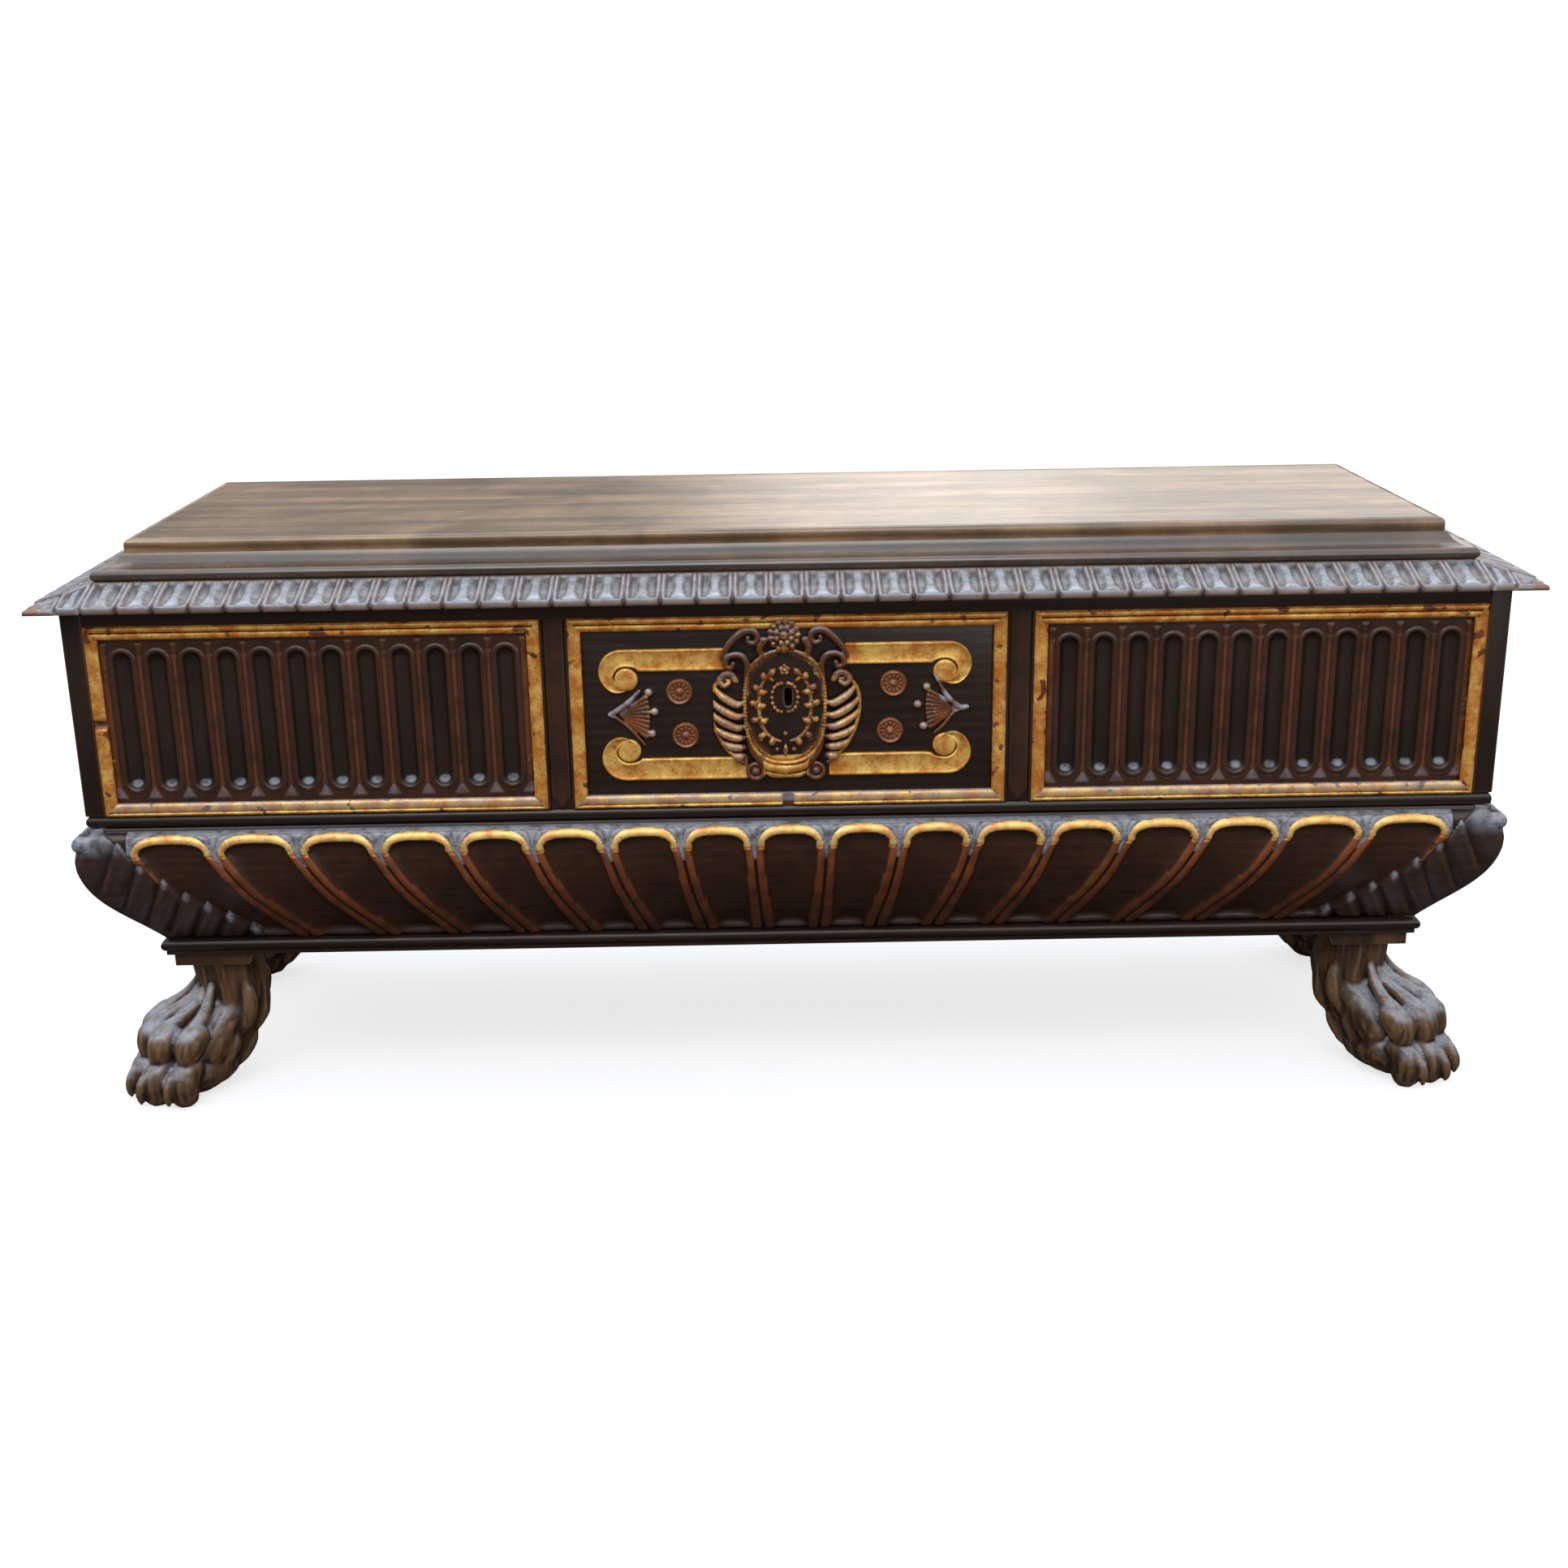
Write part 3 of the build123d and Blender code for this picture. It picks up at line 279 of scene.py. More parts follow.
def mark_ridges(bm, strength=0.003, rounds=2):
    """Store how far each vertex stands out: over 0.5 on ridges and under it in hollows."""
    bm.normal_update()
    layer = bm.verts.layers.float.get("ridge") or bm.verts.layers.float.new("ridge")
    for vert in bm.verts:
        bend = 0.0
        for edge in vert.link_edges:
            step = edge.other_vert(vert).co - vert.co
            bend -= vert.normal.dot(step) / max(step.length_squared, 1e-9)
        vert[layer] = min(1.0, max(0.0, 0.5 + strength * bend / max(1, len(vert.link_edges))))
    for _ in range(rounds):
        means = [
            sum((edge.other_vert(vert)[layer] for edge in vert.link_edges), vert[layer])
            / (1 + len(vert.link_edges))
            for vert in bm.verts
        ]
        for vert, mean in zip(bm.verts, means):
            vert[layer] = mean


def finished(bm, name, body, slot, material, replaced=(), sharp=50.0):
    """Make a piece of the chest from a bmesh: it rides on a body and stands for CAD nodes."""
    mesh = bpy.data.meshes.new(name)
    bm.to_mesh(mesh)
    bm.free()
    mesh.materials.append(material)
    mesh.shade_smooth()
    if sharp:
        mesh.set_sharp_from_angle(angle=math.radians(sharp))
    piece = bpy.data.objects.new(name, mesh)
    bpy.context.scene.collection.objects.link(piece)
    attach(piece, body)
    if replaced:
        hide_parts(*replaced)
    return piece


def round_off(bm, edges, rounding, segments, worn):
    """Round edges and mark how worn the round is, which the finish paints lighter as wear and
    painted highlight: 0.5 is as worn as the flat wood.
    """
    layer = bm.faces.layers.float.new("ridge")
    for face in bm.faces:
        face[layer] = 0.5
    rounded = bmesh.ops.bevel(
        bm,
        geom=edges,
        offset=rounding,
        offset_type="OFFSET",
        affect="EDGES",
        segments=segments,
        profile=0.5,
        material=-1,
        clamp_overlap=True,
    )
    for face in rounded["faces"]:
        face[layer] = worn


def softened(name, node, body, slot, material, rounding=1.2 * MM, segments=2):
    """A copy of a plain board with rounded arrises, marked where hands wear them, which the finish
    paints lighter as wear and painted highlight.
    """
    bm = bmesh.new()
    bm.from_mesh(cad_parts[node].data)
    bmesh.ops.remove_doubles(bm, verts=bm.verts, dist=1e-6)
    bmesh.ops.dissolve_limit(bm, angle_limit=math.radians(1.0), verts=bm.verts, edges=bm.edges)
    arrises = [edge for edge in bm.edges if edge.is_manifold and edge.calc_face_angle(0.0) > 0.6]
    round_off(bm, arrises, rounding, segments, 0.72)
    return finished(bm, name, body, slot, material, (node,), sharp=32.0)


# ------------------------------------------------------------------ shader building
class Tree:
    """Adds nodes to a tree. An input that is a socket is linked; any other is set."""

    def __init__(self, tree):
        self.tree = tree
        self.count = 0

    def add(self, kind, inputs=None, **settings):
        """A node of a kind, with its settings and inputs."""
        node = self.tree.nodes.new(kind)
        node.location = (190 * (self.count % 12), -260 * (self.count // 12))
        self.count += 1
        for key, value in settings.items():
            setattr(node, key, value)
        for key, value in (inputs or {}).items():
            if isinstance(value, bpy.types.NodeSocket):
                self.tree.links.new(value, node.inputs[key])
            else:
                node.inputs[key].default_value = value
        return node

    def maths(self, operation, first, second):
        """The outcome of one sum."""
        return self.add("ShaderNodeMath", {0: first, 1: second}, operation=operation).outputs[0]

    def mix(self, factor, first, second, how="MIX"):
        """Two colours mixed by a factor."""
        node = self.add(
            "ShaderNodeMix", {0: factor, 6: first, 7: second}, data_type="RGBA", blend_type=how
        )
        return node.outputs[2]

    def rise(self, value, low, high, start=0.0, end=1.0):
        """A value mapped smoothly from one range to another."""
        limits = {"Value": value, "From Min": low, "From Max": high, "To Min": start, "To Max": end}
        return self.add("ShaderNodeMapRange", limits, interpolation_type="SMOOTHSTEP").outputs[0]

    def cloud(self, place, scale, detail=4.0, roughness=0.55, distortion=0.0):
        """Noise over a place."""
        inputs = {
            "Vector": place,
            "Scale": scale,
            "Detail": detail,
            "Roughness": roughness,
            "Distortion": distortion,
        }
        return self.add("ShaderNodeTexNoise", inputs).outputs[0]

    def mark(self, name):
        """A value stored on the piece."""
        return self.add("ShaderNodeAttribute", attribute_name=name).outputs["Fac"]

    def share(self, name, **inputs):
        """The outputs of a shared group."""
        return self.add("ShaderNodeGroup", inputs, node_tree=effect(name)).outputs


SOOT_AND_SHADE = (0.006, 0.0045, 0.004, 1.0)          # old grime and painted shade in the wood's hollows
GOLD_GRIME_AND_SHADE = (0.035, 0.019, 0.009, 1.0)     # and in the gilding's


def build_grain(tree, entry):
    """Wood figure and fibres, drawn out along the grain."""
    run = tree.add("ShaderNodeMapping", {"Vector": entry["Place"], "Scale": entry["Stretch"]})
    figure = tree.cloud(run.outputs[0], 1.0, 5.0, 0.6, 0.7)
    fibre = tree.cloud(run.outputs[0], 7.0, 6.0, 0.7)
    rings = tree.add(
        "ShaderNodeTexWave",
        {"Vector": run.outputs[0], "Scale": 0.9, "Distortion": 5.0, "Detail": 3.0},
        wave_type="BANDS",
        bands_direction="Z",
    ).outputs[1]
    figure = tree.maths("MULTIPLY", figure, 0.7)
    figure = tree.maths("ADD", figure, tree.maths("MULTIPLY", rings, 0.3))
    return {"Figure": tree.rise(figure, 0.25, 0.75), "Fibre": fibre}


def build_wear_and_painted_light(tree, entry):
    """Where ridges are rubbed lighter, as wear and painted highlight, and where hollows are
    darkened, as grime and painted shade.
    """
    patches = tree.cloud(entry["Place"], 24.0, 5.0, 0.6)
    specks = tree.cloud(entry["Place"], 190.0, 3.0, 0.6)
    patches = tree.maths("MULTIPLY", patches, 0.28)
    uneven = tree.maths("ADD", patches, tree.maths("MULTIPLY", specks, 0.16))
    level = tree.maths("ADD", entry["Ridge"], tree.maths("SUBTRACT", uneven, 0.22))
    return {"Rubbed": tree.rise(level, 0.53, 0.72), "Grime": tree.rise(level, 0.48, 0.3)}


def build_gilding(tree, entry):
    """Gold leaf that is whole, rubbed thin or gone."""
    patches = tree.cloud(entry["Place"], 46.0, 6.0, 0.7)
    specks = tree.cloud(entry["Place"], 260.0, 3.0, 0.6)
    holes = tree.maths("MULTIPLY", tree.maths("ADD", patches, specks), 0.5)
    level = tree.maths("SUBTRACT", entry["Cover"], tree.maths("MULTIPLY", entry["Wear"], holes))
    thin = tree.cloud(entry["Place"], 52.0, 6.0, 0.72)
    thin = tree.maths("ADD", thin, tree.maths("MULTIPLY", entry["Tone"], 0.26))
    warm = tree.mix(tree.rise(thin, 0.4, 0.78, 0.05, 1.0), entry["Bright"], entry["Warm"])
    pits = tree.rise(tree.cloud(entry["Place"], 330.0, 2.0, 0.5), 0.66, 0.74, 0.0, 0.7)
    # Grime and painted shade darken the gilding's hollows, as do pits in the leaf
    grime_and_shade = tree.maths("MAXIMUM", tree.maths("MULTIPLY", entry["Grime"], 0.85), pits)
    dulled = tree.mix(grime_and_shade, warm, GOLD_GRIME_AND_SHADE)
    return {"Leaf": tree.rise(level, 0.12, 0.3), "Colour": dulled}


# Each shader group's builder, inputs and outputs; a socket not named below takes a value
EFFECTS = {
    "Wood grain": (build_grain, ("Place", "Stretch"), ("Figure", "Fibre")),
    "Age": (build_wear_and_painted_light, ("Place", "Ridge"), ("Rubbed", "Grime")),
    "Gilding": (
        build_gilding,
        ("Place", "Cover", "Wear", "Grime", "Tone", "Bright", "Warm"),
        ("Leaf", "Colour"),
    ),
}
SOCKETS = {
    "Place": "NodeSocketVector",
    "Stretch": "NodeSocketVector",
    "Bright": "NodeSocketColor",
    "Warm": "NodeSocketColor",
    "Colour": "NodeSocketColor",
}


def effect(name):
    """A shader group with named inputs and outputs, made once and shared."""
    found = bpy.data.node_groups.get(name)
    if found:
        return found
    build, inputs, outputs = EFFECTS[name]
    group = bpy.data.node_groups.new(name, "ShaderNodeTree")
    for in_out, labels in (("INPUT", inputs), ("OUTPUT", outputs)):
        for label in labels:
            kind = SOCKETS.get(label, "NodeSocketFloat")
            group.interface.new_socket(label, in_out=in_out, socket_type=kind)
    tree = Tree(group)
    tree.add("NodeGroupOutput", build(tree, tree.add("NodeGroupInput").outputs))
    return group


# How dense the grain is along each axis, by the axis that it runs along
STRETCH = {"x": (1.6, 26.0, 26.0), "y": (26.0, 1.6, 26.0), "z": (26.0, 26.0, 1.6)}

# A finish: the names of its three colours, how its grain runs, and how strong each effect is
Walnut = namedtuple(
    "Walnut",
    "deep light rubbed along gloss coat wear mottle gilt bloom warm",
    defaults=("x", 0.35, 0.1, 1.0, 0.15, None, None, False),
)


def solid(rgb):
    """A colour with full cover, as a socket takes it."""
    return (*rgb, 1.0)


CASE = Walnut("case_deep", "case_light", "case_rubbed", gloss=0.36, coat=0.08, wear=0.5)
WALNUTS = {
    "case walnut": CASE,
    "stile walnut": CASE._replace(warm=True),
    "gadroon walnut": CASE._replace(gilt=0.62, bloom=0.9, warm=True),
    "fluted walnut": CASE._replace(gilt=0.7, bloom=0.9, warm=True, wear=0.25),
    "gilt moulding": CASE._replace(gilt=0.55, bloom=0.8, warm=True),
    "ornament walnut": Walnut(
        "case_light", "case_rubbed", "case_rubbed", "z",
        gloss=0.36, coat=0.15, wear=0.7, gilt=0.55, bloom=0.8, warm=True,
    ),
    "cartouche walnut": Walnut(
        "case_deep", "case_light", "case_rubbed", "z",
        gloss=0.32, coat=0.2, wear=0.9, gilt=0.55, bloom=0.8, warm=True,
    ),
    "lid walnut": Walnut(
        "top_deep", "top_light", "top_light", gloss=0.27, coat=0.5, wear=0.4, mottle=0.45
    ),
    # Lighter than the case: the window's reflection on the step is partly painted into its colours
    "step walnut": Walnut(
        "band_deep", "top_deep", "top_light", gloss=0.24, coat=0.8, wear=0.5, mottle=0.4
    ),
    "band walnut": Walnut(
        "band_deep", "band_light", "band_light",
        gloss=0.3, coat=0.4, wear=0.5, bloom=1.0, warm=True,
    ),
    # The paws' ridges take the lid top's light colour: wear and painted highlight
    "foot walnut": Walnut(
        "foot_deep", "foot_light", "top_light", "z",
        gloss=0.38, coat=0.15, wear=0.35, mottle=0.3, bloom=0.8,
    ),
    "plain walnut": Walnut(
        "plain_deep", "plain_light", "plain_light", gloss=0.62, coat=0.0, wear=0.4
    ),
}


def new_finish(name):
    """An empty material and its tree."""
    material = bpy.data.materials.new(name)
    material.use_nodes = True
    material.node_tree.nodes.clear()
    return material, Tree(material.node_tree)


def grained(tree, place, grain, finish, colours):
    """The bare wood's colour: figure, fibres and broad patches."""
    deep, light = solid(getattr(colours, finish.deep)), solid(getattr(colours, finish.light))
    base = tree.mix(grain["Figure"], deep, light)
    fibre = tree.rise(grain["Fibre"], 0.35, 0.7, 0.74, 1.08)
    low, high = 1.0 - finish.mottle, 1.0 + finish.mottle
    patches = tree.rise(tree.cloud(place, 6.5, 5.0, 0.62, 0.6), 0.3, 0.7, low, high)
    fibre = tree.maths("MULTIPLY", fibre, patches)
    shade = tree.add("ShaderNodeCombineXYZ", {0: fibre, 1: fibre, 2: fibre}).outputs[0]
    return tree.mix(1.0, base, shade, "MULTIPLY")


def wood(kind, along=None):
    """Waxed walnut: grain, ridges rubbed lighter as wear and painted highlight, hollows darkened by
    grime and painted shade, and where it has them gilding and a grey painted highlight.

    The grain runs as the table says, or along a given axis.
    """
    name = f"{kind}, grain along {along}" if along else kind
    found = bpy.data.materials.get(name)
    if found:
        return found
    finish = WALNUTS[kind]
    material, tree = new_finish(name)
    colours = bpy.context.scene.cassone_colours
    place = tree.add("ShaderNodeTexCoord").outputs["Object"]
    grain = tree.share("Wood grain", Place=place, Stretch=STRETCH[along or finish.along])
    wear_and_painted_light = tree.share("Age", Place=place, Ridge=tree.mark("ridge"))
    rubbed, grime_and_shade = wear_and_painted_light["Rubbed"], wear_and_painted_light["Grime"]

    base = grained(tree, place, grain, finish, colours)
    if finish.warm:
        uneven = tree.rise(tree.cloud(place, 40.0), 0.3, 0.62, 0.35, 1.0)
        glow = tree.maths("MULTIPLY", tree.mark("warm"), uneven)
        base = tree.mix(glow, base, solid(colours.case_warm))
    # Ridges take the rubbed colour: worn finish and painted highlight
    rubbed = tree.maths("MULTIPLY", rubbed, finish.wear)
    base = tree.mix(rubbed, base, solid(getattr(colours, finish.rubbed)))
    rough = tree.rise(grain["Fibre"], 0.3, 0.7, finish.gloss + 0.08, finish.gloss - 0.06)
    look = {"Coat Weight": finish.coat, "Coat Roughness": 0.24, "Specular IOR Level": 0.42}
    if finish.gilt is not None:
        gilding = tree.share(
            "Gilding",
            Place=place,
            Cover=tree.mark("gilt"),
            Wear=finish.gilt,
            Grime=grime_and_shade,
            Tone=tree.mark("warm"),
            Bright=solid(colours.gold_bright),
            Warm=solid(colours.gold_warm),
        )
        leaf = gilding["Leaf"]
        base = tree.mix(leaf, base, gilding["Colour"])
        look["Metallic"] = tree.maths("MULTIPLY", leaf, 0.45)
        rough = tree.add("ShaderNodeMix", {0: leaf, 2: rough, 3: 0.46}).outputs[0]
    # Grime and painted shade darken the hollows
    base = tree.mix(tree.maths("MULTIPLY", grime_and_shade, 0.8), base, SOOT_AND_SHADE)
    # Painted highlight: the sky's grey reflection mixed into the colour where the piece marks it
    if finish.bloom is not None:
        highlight_patches = tree.cloud(place, 75.0, 5.0, 0.6)
        spread = tree.rise(highlight_patches, 0.32, 0.6, 0.3 * finish.bloom, finish.bloom)
        spread = tree.maths("MULTIPLY", tree.mark("bloom"), spread)
        base = tree.mix(spread, base, solid(colours.bloom))
    pores = tree.maths("MULTIPLY", tree.cloud(place, 90.0), 0.8)
    height = tree.maths("ADD", grain["Fibre"], pores)
    bump = tree.add("ShaderNodeBump", {"Height": height, "Strength": 0.25, "Distance": 0.0007})
    look.update({"Base Color": base, "Roughness": rough, "Normal": bump.outputs[0]})
    shader = tree.add("ShaderNodeBsdfPrincipled", look)
    tree.add("ShaderNodeOutputMaterial", {"Surface": shader.outputs[0]})
    return material


BLACK_IRON = (0.045, 0.042, 0.04, 1.0)
RUST = (0.11, 0.045, 0.02, 1.0)


def iron():
    """Dark wrought iron with rust in its pores."""
    found = bpy.data.materials.get("iron")
    if found:
        return found
    material, tree = new_finish("iron")
    place = tree.add("ShaderNodeTexCoord").outputs["Object"]
    rust = tree.rise(tree.cloud(place, 70.0, 6.0, 0.7), 0.52, 0.66)
    base = tree.mix(rust, BLACK_IRON, RUST)
    metal = tree.rise(rust, 0.0, 1.0, 0.9, 0.1)
    rough = tree.rise(tree.cloud(place, 150.0), 0.3, 0.7, 0.4, 0.65)
    bump = tree.add("ShaderNodeBump", {"Height": rust, "Strength": 0.3, "Distance": 0.0004})
    shader = tree.add(
        "ShaderNodeBsdfPrincipled",
        {"Base Color": base, "Metallic": metal, "Roughness": rough, "Normal": bump.outputs[0]},
    )
    tree.add("ShaderNodeOutputMaterial", {"Surface": shader.outputs[0]})
    return material


# ------------------------------------------------------------------ belly
SPRING = 0.0405               # how far down the profile the arches spring
ARCH_INNER = (0.0155, 2.6)    # height and squareness of a channel's round head
ARCH_OUTER = (0.0290, 2.2)    # the same of the gilded arch's outline
ARCH_FOOT = 0.0125            # from between two channels to a head's edge, at the spring
SPANDREL = 0.0044             # half of the gap between two arches there
DART_REACH = 0.0195           # how far below the spring the leaf between two arches ends
RIM_GROOVE = 0.0014           # half of the groove between two rims
STRIP_TOP = 0.0040            # how far down the plain strip over the arches starts
FAN_TOP = (0.088, 0.000085)   # channel spacing and its growth, at the top of the front
FAN_FOOT = (0.0705, 0.00019)  # and at its foot
SIDE_TOP = (0.082, 0.0)       # the same on the short sides
SIDE_FOOT = (0.066, 0.0)
BELLY_TAPER = 0.060           # how far the belly's foot stands in from the case
BELLY_BACK_TOP = 0.034        # inset of its board's back, at the top
BELLY_BACK_FOOT = 0.088       # and at the foot
FOOT_SLOPE = math.radians(36.0)       # of its face at the foot, from upright
SWELL_DROP = 0.026            # from its top down to its widest line


def belly_line():
    """The belly's profile, as (inset, height), from its top to its foot."""
    widest = BELLY_TOP - SWELL_DROP
    fall = 0.45 * (widest - BELLY_FOOT)
    upper = interpolate_bezier(
        Vector((0.0, BELLY_TOP)),
        Vector((-0.9 * BELLY_SWELL, BELLY_TOP - 0.1 * SWELL_DROP)),
        Vector((-BELLY_SWELL, BELLY_TOP - 0.5 * SWELL_DROP)),
        Vector((-BELLY_SWELL, widest)),
        24,
    )
    foot = Vector((BELLY_TAPER, BELLY_FOOT))
    lower = interpolate_bezier(
        Vector((-BELLY_SWELL, widest)),
        Vector((-BELLY_SWELL, widest - fall)),
        foot + fall * Vector((-math.sin(FOOT_SLOPE), math.cos(FOOT_SLOPE))),
        foot,
        72,
    )
    return [Vector(p[:2]) for p in upper] + [Vector(p[:2]) for p in lower[1:]]


LEAF_TOP = {"front": 0.812, "left": 0.214, "right": 0.214}    # from a side's middle to its
LEAF_FOOT = {"front": 0.660, "left": 0.110, "right": 0.110}   # corner leaf's top and foot
# How far down the leaflets' tips stand at the leaf's edge
LEAF_TIPS = (-0.095, -0.055, -0.015, 0.018, 0.047, 0.074, 0.100, 0.125, 0.150, 0.178, 0.215)
LEAF_SLANT = 0.75             # how steeply its leaflets fall towards the corner
LEAF_BED = -0.0105            # height of the cut between two leaflets
BELLY_ROWS = 112              # steps down a belly board
CHANNEL_STEPS = 38            # steps across a channel
HIDDEN_STEPS = 54             # and across one that runs under the corner leaf
CORNER_STEPS = 46             # and on to the mitre
CHANNEL_REACH = {"front": 8.5, "left": 2.5, "right": 2.5}     # channels each way from the middle
HAIR = 1e-6                   # added to a divisor that may be nothing


def lean_share(down, reach):
    """How far the channels have leant at a distance down: 0 at their spring and 1 at the foot."""
    return max(0.0, down - SPRING) / (reach - SPRING)


def fan_run(side, count, lean):
    """Distance along a side to a channel's edge, at a lean from 0 (spring) to 1 (foot)."""
    top, foot = (FAN_TOP, FAN_FOOT) if side == "front" else (SIDE_TOP, SIDE_FOOT)
    return blend(top[0], foot[0], lean) * count + blend(top[1], foot[1], lean) * count**3


def arch_edge(across, above, half, height, squareness):
    """1 on the outline of an arch, under 1 inside it and over 1 outside."""
    return ((across / half) ** squareness + (above / height) ** squareness) ** (1 / squareness)


def arch_relief(half, across, above, down, sizes):
    """Height, gilding, painted highlight and warmth over the spring: a head, its gilded arch and a
    leaf.
    """
    outline = half - SPANDREL
    inner = arch_edge(across, above, half - ARCH_FOOT, *ARCH_INNER)
    outer = arch_edge(across, above, outline, *ARCH_OUTER)
    if inner < 1.0:
        hollow = (1.0 - inner**2.6) ** 0.6
        return -sizes.rim_height - sizes.channel_depth * hollow, 0.0, 0.0, 0.10
    if outer < 1.0:
        rise = dome(2 * (inner - 1.0) / (inner - outer) - 1) ** 0.8
        return -sizes.rim_height * (1.0 - rise), 1.0, 0.16 * rise, 0.15
    if down < STRIP_TOP:
        return -0.0042, 0.0, 0.0, 0.0
    crown = SPRING - ARCH_OUTER[0]
    if down < crown:
        return -0.0024, 0.0, 0.55, 0.0
    share = min(1.0, above / ARCH_OUTER[0])
    width = half - outline * (1.0 - share ** ARCH_OUTER[1]) ** (1 / ARCH_OUTER[1])
    step = (half - across) / (width + HAIR)
    lobe = dome(step / 0.36) if step < 0.36 else dome((step - 0.68) / 0.32)
    lobe = lobe**0.7 * ease(crown, crown + 0.0025, down)
    return -0.0040 + 0.0026 * lobe, 0.0, 0.2 + 0.7 * lobe, 0.0


def rim_relief(half, across, below, lean, left, sizes):
    """The same under the spring: a hollow, its rim and the groove between two rims."""
    rim = blend(sizes.rim_top, sizes.rim_foot, lean)
    opening = half - blend(ARCH_FOOT, rim, ease(0.0, 0.016, below))
    gap = max(RIM_GROOVE, SPANDREL * (1.0 - below / DART_REACH))
    edge = half - gap
    if across < opening:
        hollow = (1.0 - (across / opening) ** 2.6) ** 0.6
        scoop = dome(1.0 - min(1.0, max(0.0, (left - 0.0012) / 0.008)))
        height = -sizes.rim_height - sizes.channel_depth * hollow * scoop
        return height, 0.0, 0.12 * (1.0 - scoop) * hollow, 0.10
    if across < edge:
        rise = dome(2 * (across - opening) / (edge - opening) - 1) ** 0.8
        leg_end = math.exp(-(((below - 0.0016) / 0.0009) ** 2))
        # The rims' gilding and warm colour fade towards the foot: worn gilding, and painted shade
        # where the belly turns under
        gilt = max(1.0 - ease(0.0, 0.0075, below), 0.33 * (1.0 - ease(0.0, 0.4, lean)))
        warm = blend(1.0, 0.30, lean**0.8)
        return -sizes.rim_height * (1.0 - rise) - 0.0012 * leg_end, gilt, 0.0, warm
    dart = dome(min(1.0, (half - across) / gap))
    dart *= 1.0 - ease(0.85 * DART_REACH, DART_REACH, below)
    return -0.0036 + 0.0020 * dart, 0.0, 0.85 * dart, 0.0


def channel_relief(side, count, down, reach, sizes):
    """Height, gilding, painted highlight and warmth of a belly board inside its row of channels."""
    number = math.floor(count + 0.5)
    lean = lean_share(down, reach)
    low = fan_run(side, number - 0.5, lean)
    high = fan_run(side, number + 0.5, lean)
    slant = (fan_run(side, number, 1.0) - fan_run(side, number, 0.0)) / (reach - SPRING)
    slant *= ease(0.0, 0.012, down - SPRING)
    square = 1.0 / math.sqrt(1.0 + slant * slant)
    half = (high - low) / 2 * square
    across = abs(fan_run(side, count, lean) - (low + high) / 2) * square
    if down < SPRING:
        return arch_relief(half, across, SPRING - down, down, sizes)
    return rim_relief(half, across, down - SPRING, lean, reach - down, sizes)


def leaf_edge(side, down):
    """Where the corner leaf's edge runs, from the middle of a side."""
    return blend(LEAF_TOP[side], LEAF_FOOT[side], (down - 0.020) / 0.180)


def corner_relief(away, to_mitre, down):
    """Height, painted highlight and warmth of the leaf around a corner, or nothing outside its
    edge.

    away is the distance in from the leaf's edge, and to_mitre is the distance left to the mitre.
    """
    sweep = down - LEAF_SLANT * away
    at = 0
    while at < len(LEAF_TIPS) - 2 and LEAF_TIPS[at + 1] < sweep:
        at += 1
    part = (sweep - LEAF_TIPS[at]) / (LEAF_TIPS[at + 1] - LEAF_TIPS[at])
    part = 1.0 - min(1.0, max(0.0, part))
    scallop_in = 0.009 * (1.0 - part**0.8 * (1.0 - ease(0.93, 1.0, part)))
    inside = away - scallop_in
    if inside < 0.0:
        return None
    leaflet = dome(2 * part - 1) ** 0.7
    vein = 0.5 + 0.5 * math.cos(4 * math.pi * part)
    height = -0.0095 + 0.0080 * leaflet - 0.0012 * vein * leaflet
    height = blend(LEAF_BED, height, ease(0.0, 0.003, inside))
    rib = math.exp(-((to_mitre / 0.006) ** 2))
    height = blend(height, -0.0008, rib * ease(0.04, 0.06, down))
    tip = ease(0.6, 0.9, part) * (1.0 - ease(0.96, 1.0, part)) * (1.0 - ease(0.006, 0.018, inside))
    # Painted highlight on the leaflets' tips and on the leaf's rolled top
    bloom = max(0.8 * tip, 0.05 * leaflet, 0.55 * (1.0 - ease(0.022, 0.05, down)) * leaflet)
    roll = dome((down - 0.022) / 0.014) * (1.0 - ease(0.018, 0.028, to_mitre))
    height = max(height, blend(-0.009, -0.0002, roll)) if roll > 0.0 else height
    return height, max(bloom, 0.95 * roll * ease(0.2, 0.8, roll)), 0.07 * leaflet * (1.0 - bloom)


def belly_columns(side):
    """Each column of a belly board: its channel count, and its share of the way to a corner."""
    reach = CHANNEL_REACH[side]
    channels = []
    total = round(2 * reach)
    for number in range(total):
        under_leaf = number in (0, total - 1)
        steps = HIDDEN_STEPS if under_leaf else CHANNEL_STEPS
        crowding = 0.0 if under_leaf else 0.5
        for step in range(steps):
            channels.append((-reach + number + crowded(step / steps, crowding), 0.0))
    channels.append((reach, 0.0))
    first = [(-reach, 1.0 - step / CORNER_STEPS) for step in range(CORNER_STEPS)]
    last_steps = CORNER_STEPS if side == "front" else 10
    last = [(reach, (step + 1) / last_steps) for step in range(last_steps)]
    return first + channels + last


